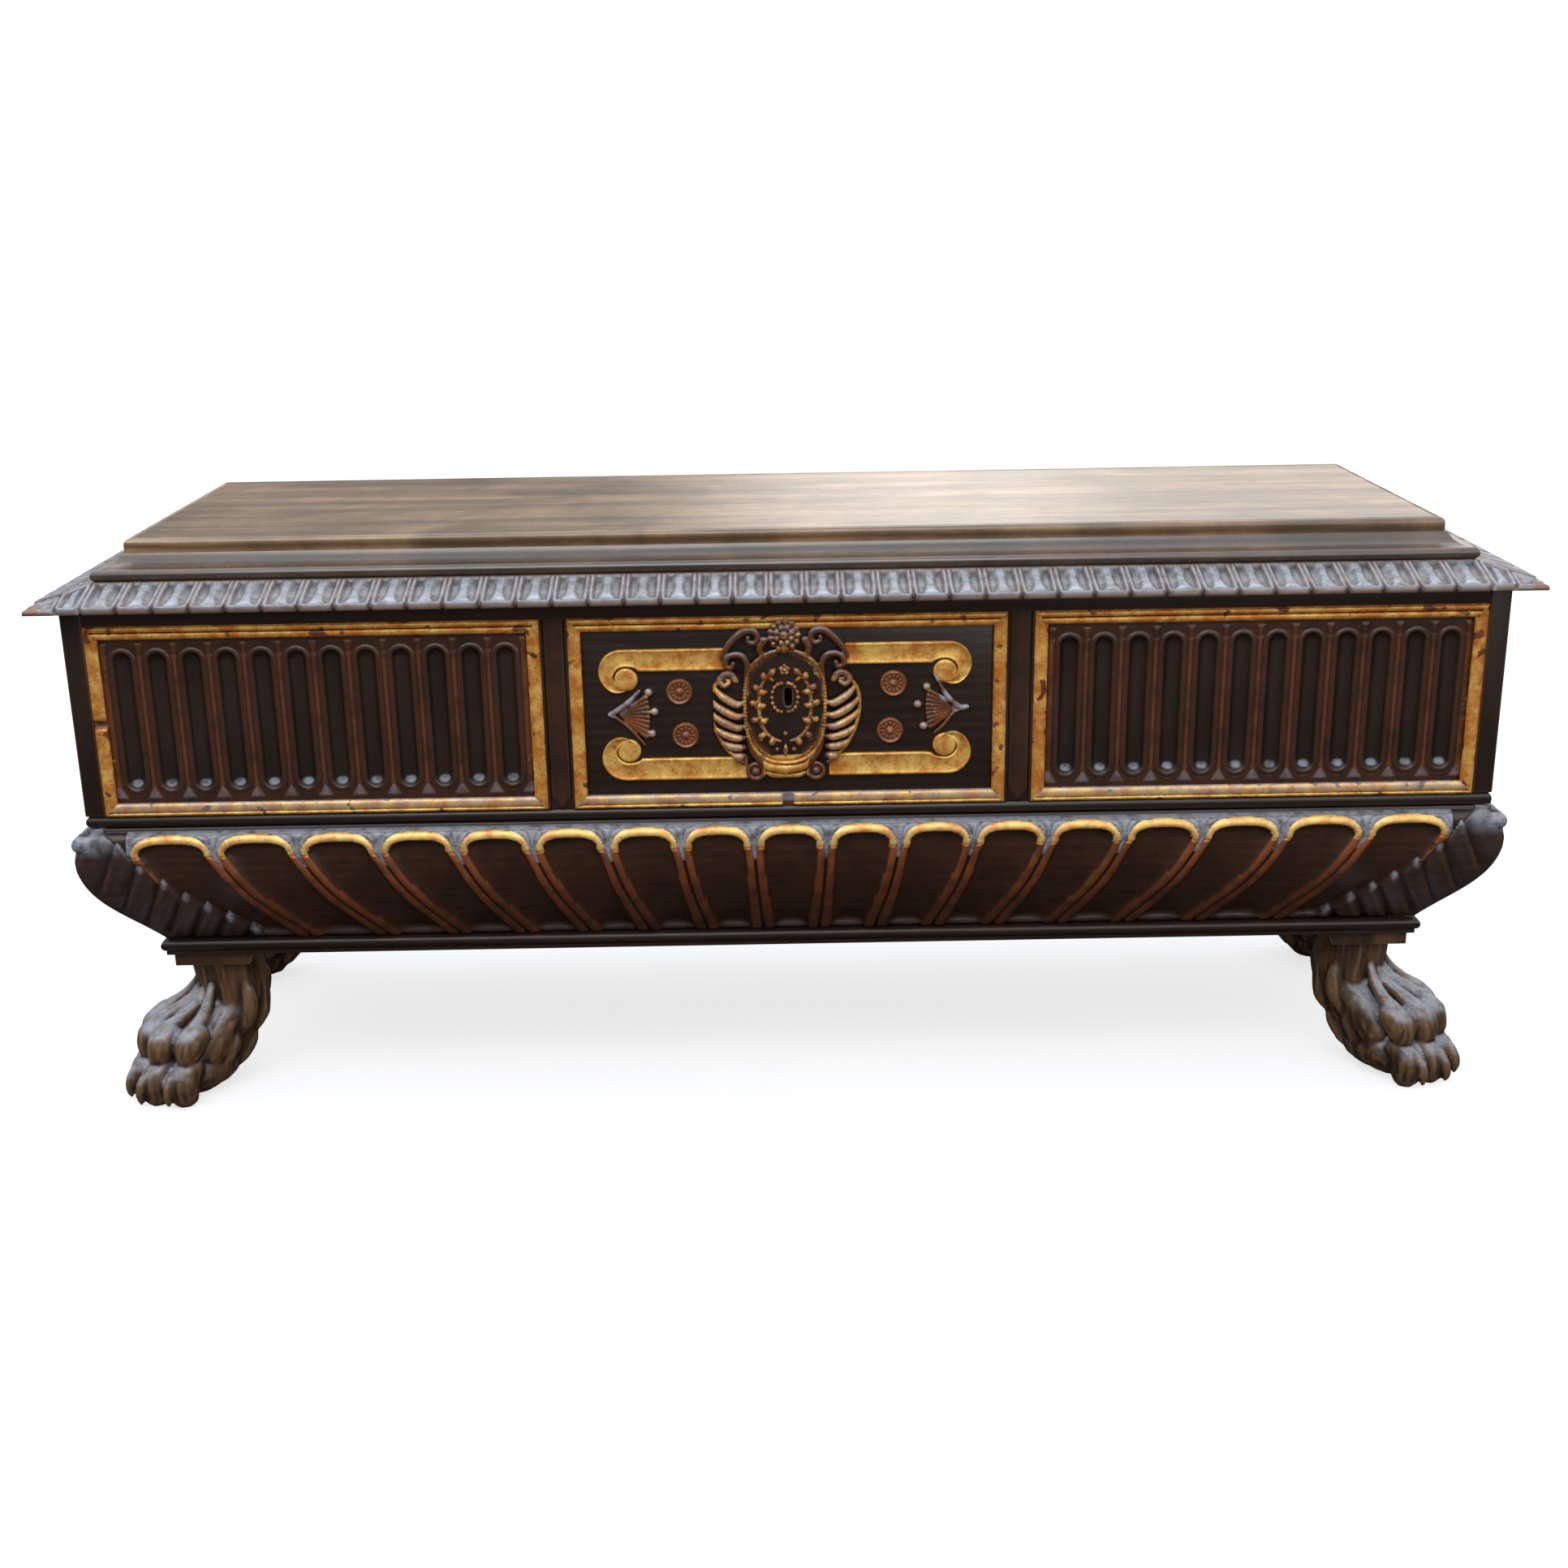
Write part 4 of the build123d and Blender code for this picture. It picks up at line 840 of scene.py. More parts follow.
def carve_belly(side, sizes):
    """A belly board with its gilded arches, hollow channels and corner leaves."""
    columns = belly_columns(side)
    rows = BELLY_ROWS
    profile = walked(belly_line(), [(row / rows) ** 1.25 for row in range(rows + 1)])
    reach = profile[-1][4]
    bm = bmesh.new()
    marks = marks_on(bm, "gilt", "bloom", "warm")

    def place(vert, column, row):
        count, turn = columns[column]
        inset, z, out_inset, out_z, down = profile[rows - row]
        lean = lean_share(down, reach)
        low, high = side_ends(side, inset)
        run = fan_run(side, count, lean)
        if turn > 0.0:
            run = blend(run, high if count > 0.0 else low, turn)
        leaf = None
        if side == "front" or run < 0.0:
            to_mitre = max(0.0, high - abs(run)) if side == "front" else run - low
            leaf = corner_relief(abs(run) - leaf_edge(side, down), to_mitre, down)
        if leaf is not None:
            height, bloom, warm = leaf
            gilt = 0.0
        elif turn > 0.0:
            height, gilt, bloom, warm = -0.0045, 0.0, 0.0, 0.0
        else:
            height, gilt, bloom, warm = channel_relief(side, count, down, reach, sizes)
        height *= ease(-0.001, 0.002, down)
        inset += height * out_inset
        z += height * out_z
        if turn > 0.0:
            low, high = side_ends(side, inset)
            run = blend(fan_run(side, count, lean), high if count > 0.0 else low, turn)
        vert.co = on_side(side, run, inset, min(BELLY_TOP, max(BELLY_FOOT, z)))
        mark(vert, marks, gilt=gilt, bloom=bloom, warm=warm)

    mapped_grid(bm, len(columns) - 1, rows, place)
    mark_ridges(bm)

    def move(vert):
        z = vert.co.z
        drop = (BELLY_TOP - z) / (BELLY_TOP - BELLY_FOOT)
        inset = blend(BELLY_BACK_TOP, BELLY_BACK_FOOT, drop)
        low, high = side_ends(side, inset)
        vert.co = on_side(side, min(high, max(low, run_of(side, vert.co))), inset, z)
        mark(vert, marks, gilt=0.0, bloom=0.0, warm=0.0)

    close_behind(bm, move)
    finish = wood("gadroon walnut", lengthwise(side))
    replaced = (f"belly_board_{side}",)
    finished(bm, f"gadroons_{side}", "case", "dark_walnut", finish, replaced, sharp=0)


class CassoneBelly(bpy.types.Operator):
    """Carve the swelling belly boards with their fans of channels"""

    bl_idname = "cassone.belly"
    bl_label = "Belly boards"

    def execute(self, context):
        """Make the three boards."""
        for side in SIDES:
            carve_belly(side, context.scene.cassone_carving)
        return {"FINISHED"}


# ------------------------------------------------------------------ lid
LOBE_PITCH = 0.0418           # from one lobe of the lid's edge to the next
LOBE_COUNT = 19               # lobes on each side of the middle one
LOBE_CORNER = 0.006           # rounding of a lobe's tip
BAND_WIDTH = 0.062            # of the sloping carved band
TIP_HEIGHT = 0.006            # thickness of the lid's edge at its tip
BAND_END = 0.040              # inset where the carving has gone under the step
LOBE_SHADE = 0.0035           # how far from its tip a lobe turns down
LID_ROWS = 58                 # steps up the carving
LOBE_STEPS = 24               # steps across a lobe
LID_CORNER_STEPS = 44         # and from the last lobe to the mitre
TONGUE = (                    # distance from the tip line and half width of a lobe's tongue
    (0.006, 0.0085), (0.0085, 0.0108), (0.014, 0.0085),
    (0.025, 0.0065), (0.038, 0.0060), (0.064, 0.0060),
)
RING_MIDDLE = 0.047           # of the small ring behind the tongue
RING_RADIUS = 0.006           # and its size
LAST_LOBE = (0.037, 0.066)    # from a corner of the lid to both edges of its last, cut lobe
BARE_TIP = 0.018              # plain wood at a corner


def tongue_half(v):
    """Half of the width of a lobe's middle tongue, at a distance from its tip line."""
    for (low, narrow), (high, wide) in zip(TONGUE, TONGUE[1:]):
        if v <= high:
            return blend(narrow, wide, max(0.0, v - low) / (high - low))
    return TONGUE[-1][1]


def lobe_relief(across, v, pitch_half, cut, sizes):
    """Height, painted highlight and warmth of one lobe; across from its middle, v from its tip
    line.

    cut is the distance to the mitre that may cut the lobe off.
    """
    half = pitch_half - blend(0.0013, 0.0004, min(1.0, v / 0.024))
    aside = abs(across)
    inside = min(half - aside, v)
    if aside > half - LOBE_CORNER and v < LOBE_CORNER:
        inside = LOBE_CORNER - math.hypot(aside - (half - LOBE_CORNER), LOBE_CORNER - v)
    inside = min(inside, cut)
    if inside < 0.0:
        return -blend(0.0058, 0.0026, ease(0.014, 0.026, v)), 0.0, 0.0
    rim = sizes.lobe_rim
    turned_down = 0.0030 * (1.0 - dome(1.0 - min(1.0, v / LOBE_SHADE)))
    if inside < rim:
        rise = dome(2 * inside / rim - 1) ** 0.7
        return sizes.lobe_relief * rise - 0.0012 * (1.0 - rise) - turned_down, 0.55 * rise, 0.3
    if inside < rim + 0.0020:
        return -0.0028, 0.12, 0.0
    scale = min(1.0, pitch_half / (LOBE_PITCH / 2))
    wide = tongue_half(v) * scale
    ring_far = abs(math.hypot(aside, min(0.0, v - RING_MIDDLE)) - RING_RADIUS * scale)
    ring = math.exp(-((ring_far / 0.0012) ** 2))
    if aside < wide:
        rise = dome(aside / wide)
        height = -0.0022 + 0.0034 * rise
        height -= 0.0010 * math.exp(-((aside / 0.0010) ** 2)) * ease(0.013, 0.018, v)
        flare = math.exp(-(((v - 0.010) / 0.006) ** 2))
        height = height * ease(0.004, 0.009, v) + 0.0012 * ring
        return height, min(1.0, 0.62 * rise + 0.5 * flare + 0.3 * ring), 0.0
    return -0.0030 + 0.0020 * ring, 0.22 + 0.4 * ring, 0.0


def corner_lobe(from_corner, v, sizes):
    """The same beside a corner of the lid: a last lobe, a small leaf and a bare tip."""
    cut = (from_corner - v) / math.sqrt(2)
    near, far = LAST_LOBE
    if from_corner > near:
        across = from_corner - (near + far) / 2
        return lobe_relief(across, v, (far - near) / 2, cut - 0.0006, sizes)
    if from_corner < BARE_TIP:
        return -0.0010 - 0.0020 * (1.0 - dome(1.0 - min(1.0, v / LOBE_SHADE))), 0.05, 0.5
    inside = min(near - from_corner - 0.0008, v, cut)
    if inside < 0.0:
        return -0.0050, 0.0, 0.0
    vein = 0.5 - 0.5 * math.cos(2 * math.pi * inside / 0.0064)
    return -0.0028 + 0.0030 * vein, 0.2 + 0.45 * vein, 0.2


def scallop(across, pitch_half):
    """How far a lobe's rounded end stands behind the tip line."""
    half = pitch_half - 0.0013
    aside = abs(across)
    if aside <= half - LOBE_CORNER:
        return 0.0
    drop = LOBE_CORNER - LOBE_CORNER * dome((aside - (half - LOBE_CORNER)) / LOBE_CORNER)
    return min(0.0075, drop + 2 * max(0.0, aside - half))


def lid_columns(side):
    """Each column of a lid edge: its run, its share of the way to a corner, its place in a lobe.

    The last value says which end of the side a corner's column belongs to.
    """
    corner = LID_CORNER_STEPS
    reach = (LOBE_COUNT + 0.5) * LOBE_PITCH
    if side == "front":
        starts = [-reach + k * LOBE_PITCH for k in range(2 * LOBE_COUNT + 1)]
        pitch = LOBE_PITCH
        ends = (corner, corner)
    else:
        low, high = side_ends(side, -OVERHANG)
        low += HALF + OVERHANG - reach
        lobes = round((high - low) / LOBE_PITCH)
        pitch = (high - low) / lobes
        starts = [low + k * pitch for k in range(lobes)]
        ends = (corner, 0)
    columns = [(starts[0], 1.0 - k / ends[0], 0.0, -1) for k in range(ends[0])]
    for start in starts:
        for k in range(LOBE_STEPS):
            local = crowded(k / LOBE_STEPS, 0.3) - 0.5
            columns.append((start + (local + 0.5) * pitch, 0.0, local * LOBE_PITCH, 0))
    finish = starts[-1] + pitch
    columns.append((finish, 0.0, LOBE_PITCH / 2, 0))
    columns += [(finish, (k + 1) / ends[1], 0.0, 1) for k in range(ends[1])]
    return columns


def carve_lid_edge(side, sizes):
    """One edge of the lid: a sloping band of lobes that ends in corner leaves.

    One last row runs on flat to the edge's full width, under the moulded step.
    """
    columns = lid_columns(side)
    node_low, node_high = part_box(f"lid_edge_{side}")
    span = node_high - node_low
    width = span.y if side == "front" else span.x
    slope = math.atan2(LID_BAND_TOP - LID_LOW - TIP_HEIGHT, BAND_WIDTH)
    depth = BAND_END + OVERHANG
    bm = bmesh.new()
    marks = marks_on(bm, "bloom", "warm")

    def place(vert, column, row):
        run, turn, across, end = columns[column]
        v = row / LID_ROWS * depth if row <= LID_ROWS else width
        if turn > 0.0:
            low, high = side_ends(side, v - OVERHANG)
            spot = blend(run, high if end > 0 else low, turn)
            low, high = side_ends(side, -OVERHANG)
            from_corner = high - spot if end > 0 else spot - low
            height, bloom, warm = corner_lobe(from_corner, v, sizes)
        else:
            back = scallop(across, LOBE_PITCH / 2)
            v = back + v * (1 - back / depth) if v < depth else v
            height, bloom, warm = lobe_relief(across, v, LOBE_PITCH / 2, 1.0, sizes)
        fade = 1.0 - ease(BAND_WIDTH - 0.005, BAND_WIDTH, v)
        height *= fade
        z = LID_LOW + TIP_HEIGHT + min(v, BAND_WIDTH) * math.tan(slope)
        z += height * math.cos(slope)
        inset = max(-OVERHANG, v - OVERHANG - height * math.sin(slope))
        if turn > 0.0:
            low, high = side_ends(side, inset)
            run = blend(run, high if end > 0 else low, turn)
        vert.co = on_side(side, run, inset, max(z, LID_LOW + 0.0012))
        mark(vert, marks, bloom=bloom * fade, warm=warm)

    mapped_grid(bm, len(columns) - 1, LID_ROWS + 1, place)
    mark_ridges(bm)

    def move(vert):
        vert.co.z = LID_LOW

    close_behind(bm, move)
    finish = wood("band walnut", lengthwise(side))
    replaced = (f"lid_edge_{side}",)
    finished(bm, f"lid_carving_{side}", "lid", "carved_walnut", finish, replaced, sharp=0)


TOP_STEPS = ((9, 0), (1.2, -1.0), (2.0, 0), (1.0, 0.9))    # width and height of each step, in mm
TOP_ROUND = 8.2 * MM          # of the top board's thumbnail moulding
TOUCH = 1e-5                  # corners closer to a border than this lie on it


def make_top_board():
    """The top board, with a thumbnail moulding and a fine scratched line inside it."""
    low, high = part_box("lid_top_board")
    bm = bmesh.new()
    bmesh.ops.create_cube(bm, size=1.0)
    bmesh.ops.scale(bm, vec=high - low, verts=bm.verts)
    bmesh.ops.translate(bm, vec=(high + low) / 2, verts=bm.verts)
    top = [face for face in bm.faces if face.normal.z > 0.9]
    for thickness, depth in TOP_STEPS:
        bmesh.ops.inset_region(bm, faces=top, thickness=thickness * MM, depth=depth * MM)

    def at_border(vert):
        x, y, z = vert.co
        ends = abs(x) > high.x - TOUCH or y < low.y + TOUCH or y > high.y - TOUCH
        return ends and z > high.z - TOUCH

    outer = [
        edge
        for edge in bm.edges
        if all(at_border(vert) for vert in edge.verts)
        and not all(vert.co.y > high.y - TOUCH for vert in edge.verts)
        and any(abs(face.normal.z) < 0.1 for face in edge.link_faces)
    ]
    round_off(bm, outer, TOP_ROUND, 7, 0.56)
    bmesh.ops.recalc_face_normals(bm, faces=bm.faces)
    walnut = wood("lid walnut", "x")
    finished(bm, "top_board", "lid", "lid_walnut", walnut, ("lid_top_board",), sharp=28.0)


class CassoneLid(bpy.types.Operator):
    """Carve the lid's band of lobes and mould its step and top"""

    bl_idname = "cassone.lid"
    bl_label = "Lid"

    def execute(self, context):
        """Make the edges, the step and the top board."""
        for side in SIDES:
            carve_lid_edge(side, context.scene.cassone_carving)
        softened("step_moulding", "lid_step_moulding", "lid", "lid_walnut", wood("step walnut"))
        make_top_board()
        return {"FINISHED"}


# ------------------------------------------------------------------ fluted panels
PANELS = {
    "front_left": "front",
    "front_right": "front",
    "side_left": "left",
    "side_right": "right",
}
FLUTE_PITCH = 0.041           # from one flute to the next
FLUTE_END = 0.0735            # from a panel's middle to the middle of a flute's round end
FLUTE_BAND = 0.0163           # radius of the band around a flute
FLUTE_GROOVE = 0.0177         # and of the fine groove around the band
FLUTE_FACE = -0.0004          # height of the ground between the flutes
FLUTE_STEPS = 34              # steps across a flute
FLUTE_ROWS = 92               # and up a panel
GLINT = (0.0035, 0.0078, 0.0050)      # painted grey highlight in a flute's foot: how far past, wide and tall


def flute_relief(across, up, sizes):
    """Height, gilding, painted highlight and warmth of a flute, at a place from its middle."""
    aside = abs(across)
    beyond = max(0.0, abs(up) - FLUTE_END)
    distance = math.hypot(aside, beyond)
    hollow = sizes.flute_half
    if distance < hollow:
        height = FLUTE_FACE - sizes.flute_depth * (1.0 - (distance / hollow) ** 2.5) ** 0.65
        past, wide, tall = GLINT
        spot = math.hypot(aside / wide, (-up - FLUTE_END - past) / tall)
        return height, 0.0, 0.75 * (1.0 - ease(0.55, 1.0, spot)), 0.0
    if distance < FLUTE_BAND:
        part = (distance - hollow) / (FLUTE_BAND - hollow)
        height = FLUTE_FACE + 0.0009 * dome(2 * part - 1) - 0.0004 * part
        return height, 0.0, 0.0, 0.2 * ease(0.3, 1.0, part)
    if distance < FLUTE_GROOVE:
        part = (distance - FLUTE_BAND) / (FLUTE_GROOVE - FLUTE_BAND)
        return FLUTE_FACE - 0.0016 * dome(2 * part - 1), 0.0, 0.0, 0.1
    rib = ease(FLUTE_GROOVE, FLUTE_GROOVE + 0.0015, distance)
    side_gap = FLUTE_PITCH / 2 - aside
    crest = 1.0 - ease(0.0, 0.0032, side_gap)
    if beyond < 0.008:
        return FLUTE_FACE * (1.0 - rib), 0.44 * crest, 0.0, 0.42 * rib
    fade = 1.0 - ease(FLUTE_GROOVE + 0.002, FLUTE_GROOVE + 0.006, beyond)
    spread = 0.0012 + (0.62 if up < 0 else 0.3) * (beyond - 0.008)
    dart = fade * dome(min(1.0, side_gap / spread))
    # Painted highlight on the darts below the flutes
    bloom = 0.32 * dart if up < 0 else 0.0
    return 0.0012 * (dart - 1.0), 0.3 * dart, bloom, 0.12 + 0.2 * dart


def carve_flutes(bay, side, sizes):
    """A fluted panel: round-ended hollows in beaded borders."""
    low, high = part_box(f"fluted_panel_{bay}")
    start, finish = run_of(side, low), run_of(side, high)
    if side == "front":
        face, back = low.y - FRONT, high.y - FRONT
    else:
        face = HALF - max(abs(low.x), abs(high.x))
        back = HALF - min(abs(low.x), abs(high.x))
    middle = (start + finish) / 2
    count = int((finish - start) / FLUTE_PITCH)
    edges = [middle + (k - count / 2) * FLUTE_PITCH for k in range(count)]
    columns = [(start, FLUTE_PITCH / 2)] if edges[0] - start > 1e-4 else []
    for edge in edges:
        for k in range(FLUTE_STEPS):
            local = k / FLUTE_STEPS
            columns.append((edge + local * FLUTE_PITCH, (local - 0.5) * FLUTE_PITCH))
    columns.append((edges[-1] + FLUTE_PITCH, FLUTE_PITCH / 2))
    if finish - columns[-1][0] > 1e-4:
        columns.append((finish, FLUTE_PITCH / 2))
    half_height = (high.z - low.z) / 2
    centre_z = (high.z + low.z) / 2
    bm = bmesh.new()
    marks = marks_on(bm, "gilt", "bloom", "warm")

    def place(vert, column, row):
        run, across = columns[column]
        up = (2 * crowded(row / FLUTE_ROWS, 0.62) - 1) * half_height
        height, gilt, bloom, warm = flute_relief(across, up, sizes)
        vert.co = on_side(side, run, face - height, centre_z + up)
        mark(vert, marks, gilt=gilt, bloom=bloom, warm=warm)

    mapped_grid(bm, len(columns) - 1, FLUTE_ROWS, place)
    mark_ridges(bm)

    def move(vert):
        vert.co = on_side(side, run_of(side, vert.co), back, vert.co.z)

    close_behind(bm, move)
    walnut = wood("fluted walnut", "z")
    replaced = (f"fluted_panel_{bay}",)
    finished(bm, f"flutes_{bay}", "case", "dark_walnut", walnut, replaced, sharp=0)


class CassoneFlutes(bpy.types.Operator):
    """Carve the fluted panels"""

    bl_idname = "cassone.flutes"
    bl_label = "Fluted panels"

    def execute(self, context):
        """Make the four panels."""
        for bay, side in PANELS.items():
            carve_flutes(bay, side, context.scene.cassone_carving)
        return {"FINISHED"}


# ------------------------------------------------------------------ gilded mouldings
GILT_WIDTH = 16.0             # in mm, as the rest of the moulding's section
GILT_DEPTH = -9.0             # its back
GILT_STEPS = 26               # steps across it
GILT_BEADS = {                # start, end and height of each bead, from the outer edge
    "foot": ((0.7, 4.0, 1.7), (4.2, 15.5, 3.0)),
    "upright": ((0.5, 15.6, 2.7),),
    "head": ((0.7, 7.4, 3.0), (8.0, 15.4, 2.7)),
}
GILT_RUNS = ("foot", "upright", "head", "upright")
GILT_BREAKS = (               # panel, run, and middle and half width of a lost piece
    ("front_centre", 0, -0.0025, 0.0052),
    ("front_left", 3, BAY_MIDDLE - 0.0015, 0.0028),
)


def gilt_height(run, distance):
    """How far a run of the gilded moulding stands out, at a distance from its outer edge."""
    heights = [-0.5]
    for start, end, top in GILT_BEADS[run]:
        heights.append(top * dome((2 * distance - start - end) / (end - start)) ** 0.9 - 0.5)
    return max(heights)


def make_gilt_frame(bay, side):
    """A mitred moulding around one panel, a little uneven as old gesso is."""
    low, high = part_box(f"gilt_moulding_{bay}")
    start, finish = run_of(side, low), run_of(side, high)
    corners = [(start, low.z), (finish, low.z), (finish, high.z), (start, high.z)]
    inward = [(1, 1), (-1, 1), (-1, -1), (1, -1)]
    stations = []
    for k in range(4):
        after = (k + 1) % 4
        steps = round(math.dist(corners[k], corners[after]) / 0.0035)
        stations += [(k, after, step / steps) for step in range(steps + 1)]
    stations.append((0, 1, 0.0))
    face = [(GILT_WIDTH * step / GILT_STEPS, None) for step in range(GILT_STEPS + 1)]
    section = [(0.0, GILT_DEPTH), *face, (GILT_WIDTH, GILT_DEPTH), (0.0, GILT_DEPTH)]
    around = len(section) - 1
    breaks = {k: (spot, gap) for where, k, spot, gap in GILT_BREAKS if where == bay}
    bm = bmesh.new()

    def broken_share(k, run, z):
        if k not in breaks:
            return 1.0
        spot, gap = breaks[k]
        away = abs((run if k in (0, 2) else z) - spot)
        return ease(gap, gap + 0.0035, away) ** 0.5

    def place(ring, part):
        k, after, t = stations[ring]
        distance, height = section[round(part * around)]
        mitres = [
            [corners[end][axis] + inward[end][axis] * distance * MM for axis in (0, 1)]
            for end in (k, after)
        ]
        run, z = (blend(mitres[0][axis], mitres[1][axis], t) for axis in (0, 1))
        if height is None:
            point = on_side(side, run, 0.0, z)
            height = gilt_height(GILT_RUNS[k], distance)
            uneven = 0.35 * noise.noise(point * 22) + 0.3 * noise.noise(point * 90)
            inside = min(distance, GILT_WIDTH - distance)
            height = min(3.0, height + uneven * ease(0.0, 1.5, inside))
            height = blend(-2.5, height, broken_share(k, run, z))
        return on_side(side, run, -height * MM, z)

    swept(bm, len(stations) - 1, around, place, closed_run=True)
    marks = marks_on(bm, "gilt", "bloom", "warm")
    for vert in bm.verts:
        run, z = run_of(side, vert.co), vert.co.z
        borders = (z - low.z, finish - run, high.z - z, run - start)
        k = borders.index(min(borders))
        edge = min(borders) / MM
        rubbed = ease(0.0, 1.8, min(edge, GILT_WIDTH - edge))
        chip = ease(0.34, 0.5, noise.noise(vert.co * 75 + Vector((7, 3, 1))))
        whole = ease(0.3, 1.0, broken_share(k, run, z))
        gilt = blend(0.45, 1.0, rubbed) * (1.0 - 0.6 * chip) * whole
        # The foot runs face up to the light: a painted highlight on their inner bead and less warm
        # gold. The head and uprights take warmer, darker gold, partly painted shade under the lid.
        if GILT_RUNS[k] == "foot":
            mark(vert, marks, gilt=gilt, bloom=0.6 * ease(4.5, 6.5, edge), warm=0.3)
        else:
            mark(vert, marks, gilt=gilt, bloom=0.0, warm=0.6)
    mark_ridges(bm)
    gold = wood("gilt moulding", lengthwise(side))
    finished(bm, f"gilt_frame_{bay}", "case", "gilding", gold, (f"gilt_moulding_{bay}",), sharp=60)


class CassoneGilding(bpy.types.Operator):
    """Run the gilded mouldings around the panels"""

    bl_idname = "cassone.gilding"
    bl_label = "Gilded mouldings"

    def execute(self, context):
        """Make the five frames."""
        for bay, side in PANELS.items():
            make_gilt_frame(bay, side)
        make_gilt_frame("front_centre", "front")
        return {"FINISHED"}


# ------------------------------------------------------------------ case boards
STILE_STEPS = (40, 60)        # across a stile and up it
STILE_BEAD = 0.0120           # half width of its bead
STILE_POINT = 0.014           # how far up from its foot the bead narrows
STILE_ARRIS = 0.0026          # plain wood left along each long edge


def make_stile(end):
    """A stile between two panels: a low bead between two grooves, pointed at its foot."""
    low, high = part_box(f"mid_stile_{end}")
    middle = (low.x + high.x) / 2
    half = (high.x - low.x) / 2
    across, along = STILE_STEPS
    bm = bmesh.new()
    marks = marks_on(bm, "warm")

    def place(vert, column, row):
        aside = (2 * column / across - 1) * half
        z = blend(low.z, high.z, row / along)
        bead = STILE_BEAD * min(1.0, max(0.05, (z - low.z) / STILE_POINT))
        height = -0.0030 + 0.0026 * dome(aside / bead) ** 0.7
        if abs(aside) > half - STILE_ARRIS:
            height = -0.0008
        vert.co = (middle + aside, low.y - height, z)
        mark(vert, marks, warm=0.10 * dome(aside / bead))

    mapped_grid(bm, across, along, place)
    mark_ridges(bm)

    def move(vert):
        vert.co.y = high.y

    close_behind(bm, move)
    finish = wood("stile walnut", "z")
    finished(bm, f"stile_{end}", "case", "dark_walnut", finish, (f"mid_stile_{end}",), sharp=40)


class CassoneCase(bpy.types.Operator):
    """Soften and finish the case's plain rails, posts, stiles and boards"""

    bl_idname = "cassone.case"
    bl_label = "Case boards"

    def execute(self, context):
        """Make the softened boards and give the inner ones their finish."""
        slot, long_grain = "dark_walnut", wood("case walnut", "x")
        softened("frieze", "frieze_rail", "case", slot, long_grain)
        softened("posts", "corner_posts", "case", slot, wood("case walnut", "z"), 2.0 * MM, 3)
        softened("waist", "waist_moulding", "case", slot, long_grain)
        softened("middle_panel", "centre_panel", "case", slot, long_grain)
        for end in ("left", "right"):
            make_stile(end)
        for side in SIDES:
            walnut = wood("case walnut", lengthwise(side))
            softened(f"base_{side}", f"base_moulding_{side}", "case", slot, walnut)
        finishes = {
            "front_board": long_grain,
            "side_board_left": wood("case walnut", "y"),
            "side_board_right": wood("case walnut", "y"),
            "back_board": wood("plain walnut", "x"),
            "floor_board": wood("plain walnut", "x"),
            "base_rail_back": wood("plain walnut", "x"),
            "lid_back_rail": wood("plain walnut", "x"),
            "lid_battens": wood("plain walnut", "y"),
        }
        for node, finish in finishes.items():
            dress(node, finish)
        return {"FINISHED"}


def dress(node, finish):
    """Give a CAD node its finish."""
    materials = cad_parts[node].data.materials
    materials.clear()
    materials.append(finish)


class CassoneIronwork(bpy.types.Operator):
    """Finish the hinges, the lock and the screws"""

    bl_idname = "cassone.ironwork"
    bl_label = "Ironwork"

    def execute(self, context):
        """Give every iron part its finish."""
        nodes = ["hinge_pins", "case_screws", "lock_plate", "lock_cover", "lock_bolt"]
        nodes += ["lid_hinge_screws", "lid_staple"]
        for end in ("left", "right"):
            nodes += [f"hinge_case_leaf_{end}", f"hinge_lid_leaf_{end}"]
        for node in nodes:
            dress(node, iron())
        return {"FINISHED"}


# ------------------------------------------------------------------ rounded carving
def join(bm, other):
    """Add another bmesh's faces to a bmesh."""
    mesh = bpy.data.meshes.new("joined")
    other.to_mesh(mesh)
    other.free()
    bm.from_mesh(mesh)
    bpy.data.meshes.remove(mesh)


def turned(bm, profile, place, steps):
    """A turned form: a profile of (radius, height) in mm, spun about its axis and closed below."""
    part = bmesh.new()
    line = [part.verts.new(Vector((radius, 0, height))) for radius, height in profile]
    edges = [part.edges.new(pair) for pair in zip(line, line[1:])]
    bmesh.ops.spin(
        part,
        geom=[*line, *edges],
        cent=(0, 0, 0),
        axis=(0, 0, 1),
        angle=2 * math.pi,
        steps=steps,
        use_merge=True,
    )
    bmesh.ops.remove_doubles(part, verts=part.verts, dist=1e-4)
    bmesh.ops.holes_fill(part, edges=open_edges(part), sides=0)
    bmesh.ops.transform(part, matrix=place, verts=part.verts)
    bmesh.ops.recalc_face_normals(part, faces=part.faces)
    join(bm, part)


def smooth_line(points, steps):
    """A smooth line through points, with a number of steps between each two."""
    line = [Vector(p) for p in points]
    line = [2 * line[0] - line[1], *line, 2 * line[-1] - line[-2]]
    found = []
    for a, b, c, d in zip(line, line[1:], line[2:], line[3:]):
        for step in range(steps):
            t = step / steps
            bend = (2 * a - 5 * b + 4 * c - d) * t**2 + (3 * b - a - 3 * c + d) * t**3
            found.append(0.5 * (2 * b + (c - a) * t + bend))
    found.append(line[-2])
    return found


def bead_run(bm, points, place, steps=6, detail=2):
    """A rounded run of wood: overlapping balls along a smooth line.

    A point of the line is (x, y, z, radius), in mm.
    """
    run = bmesh.new()
    for point in smooth_line(points, steps):
        radius = max(0.2, point[3])
        ball = bmesh.ops.create_icosphere(run, subdivisions=detail, radius=radius)["verts"]
        for vert in ball:
            vert.co = place @ (vert.co + point.xyz)
    join(bm, run)


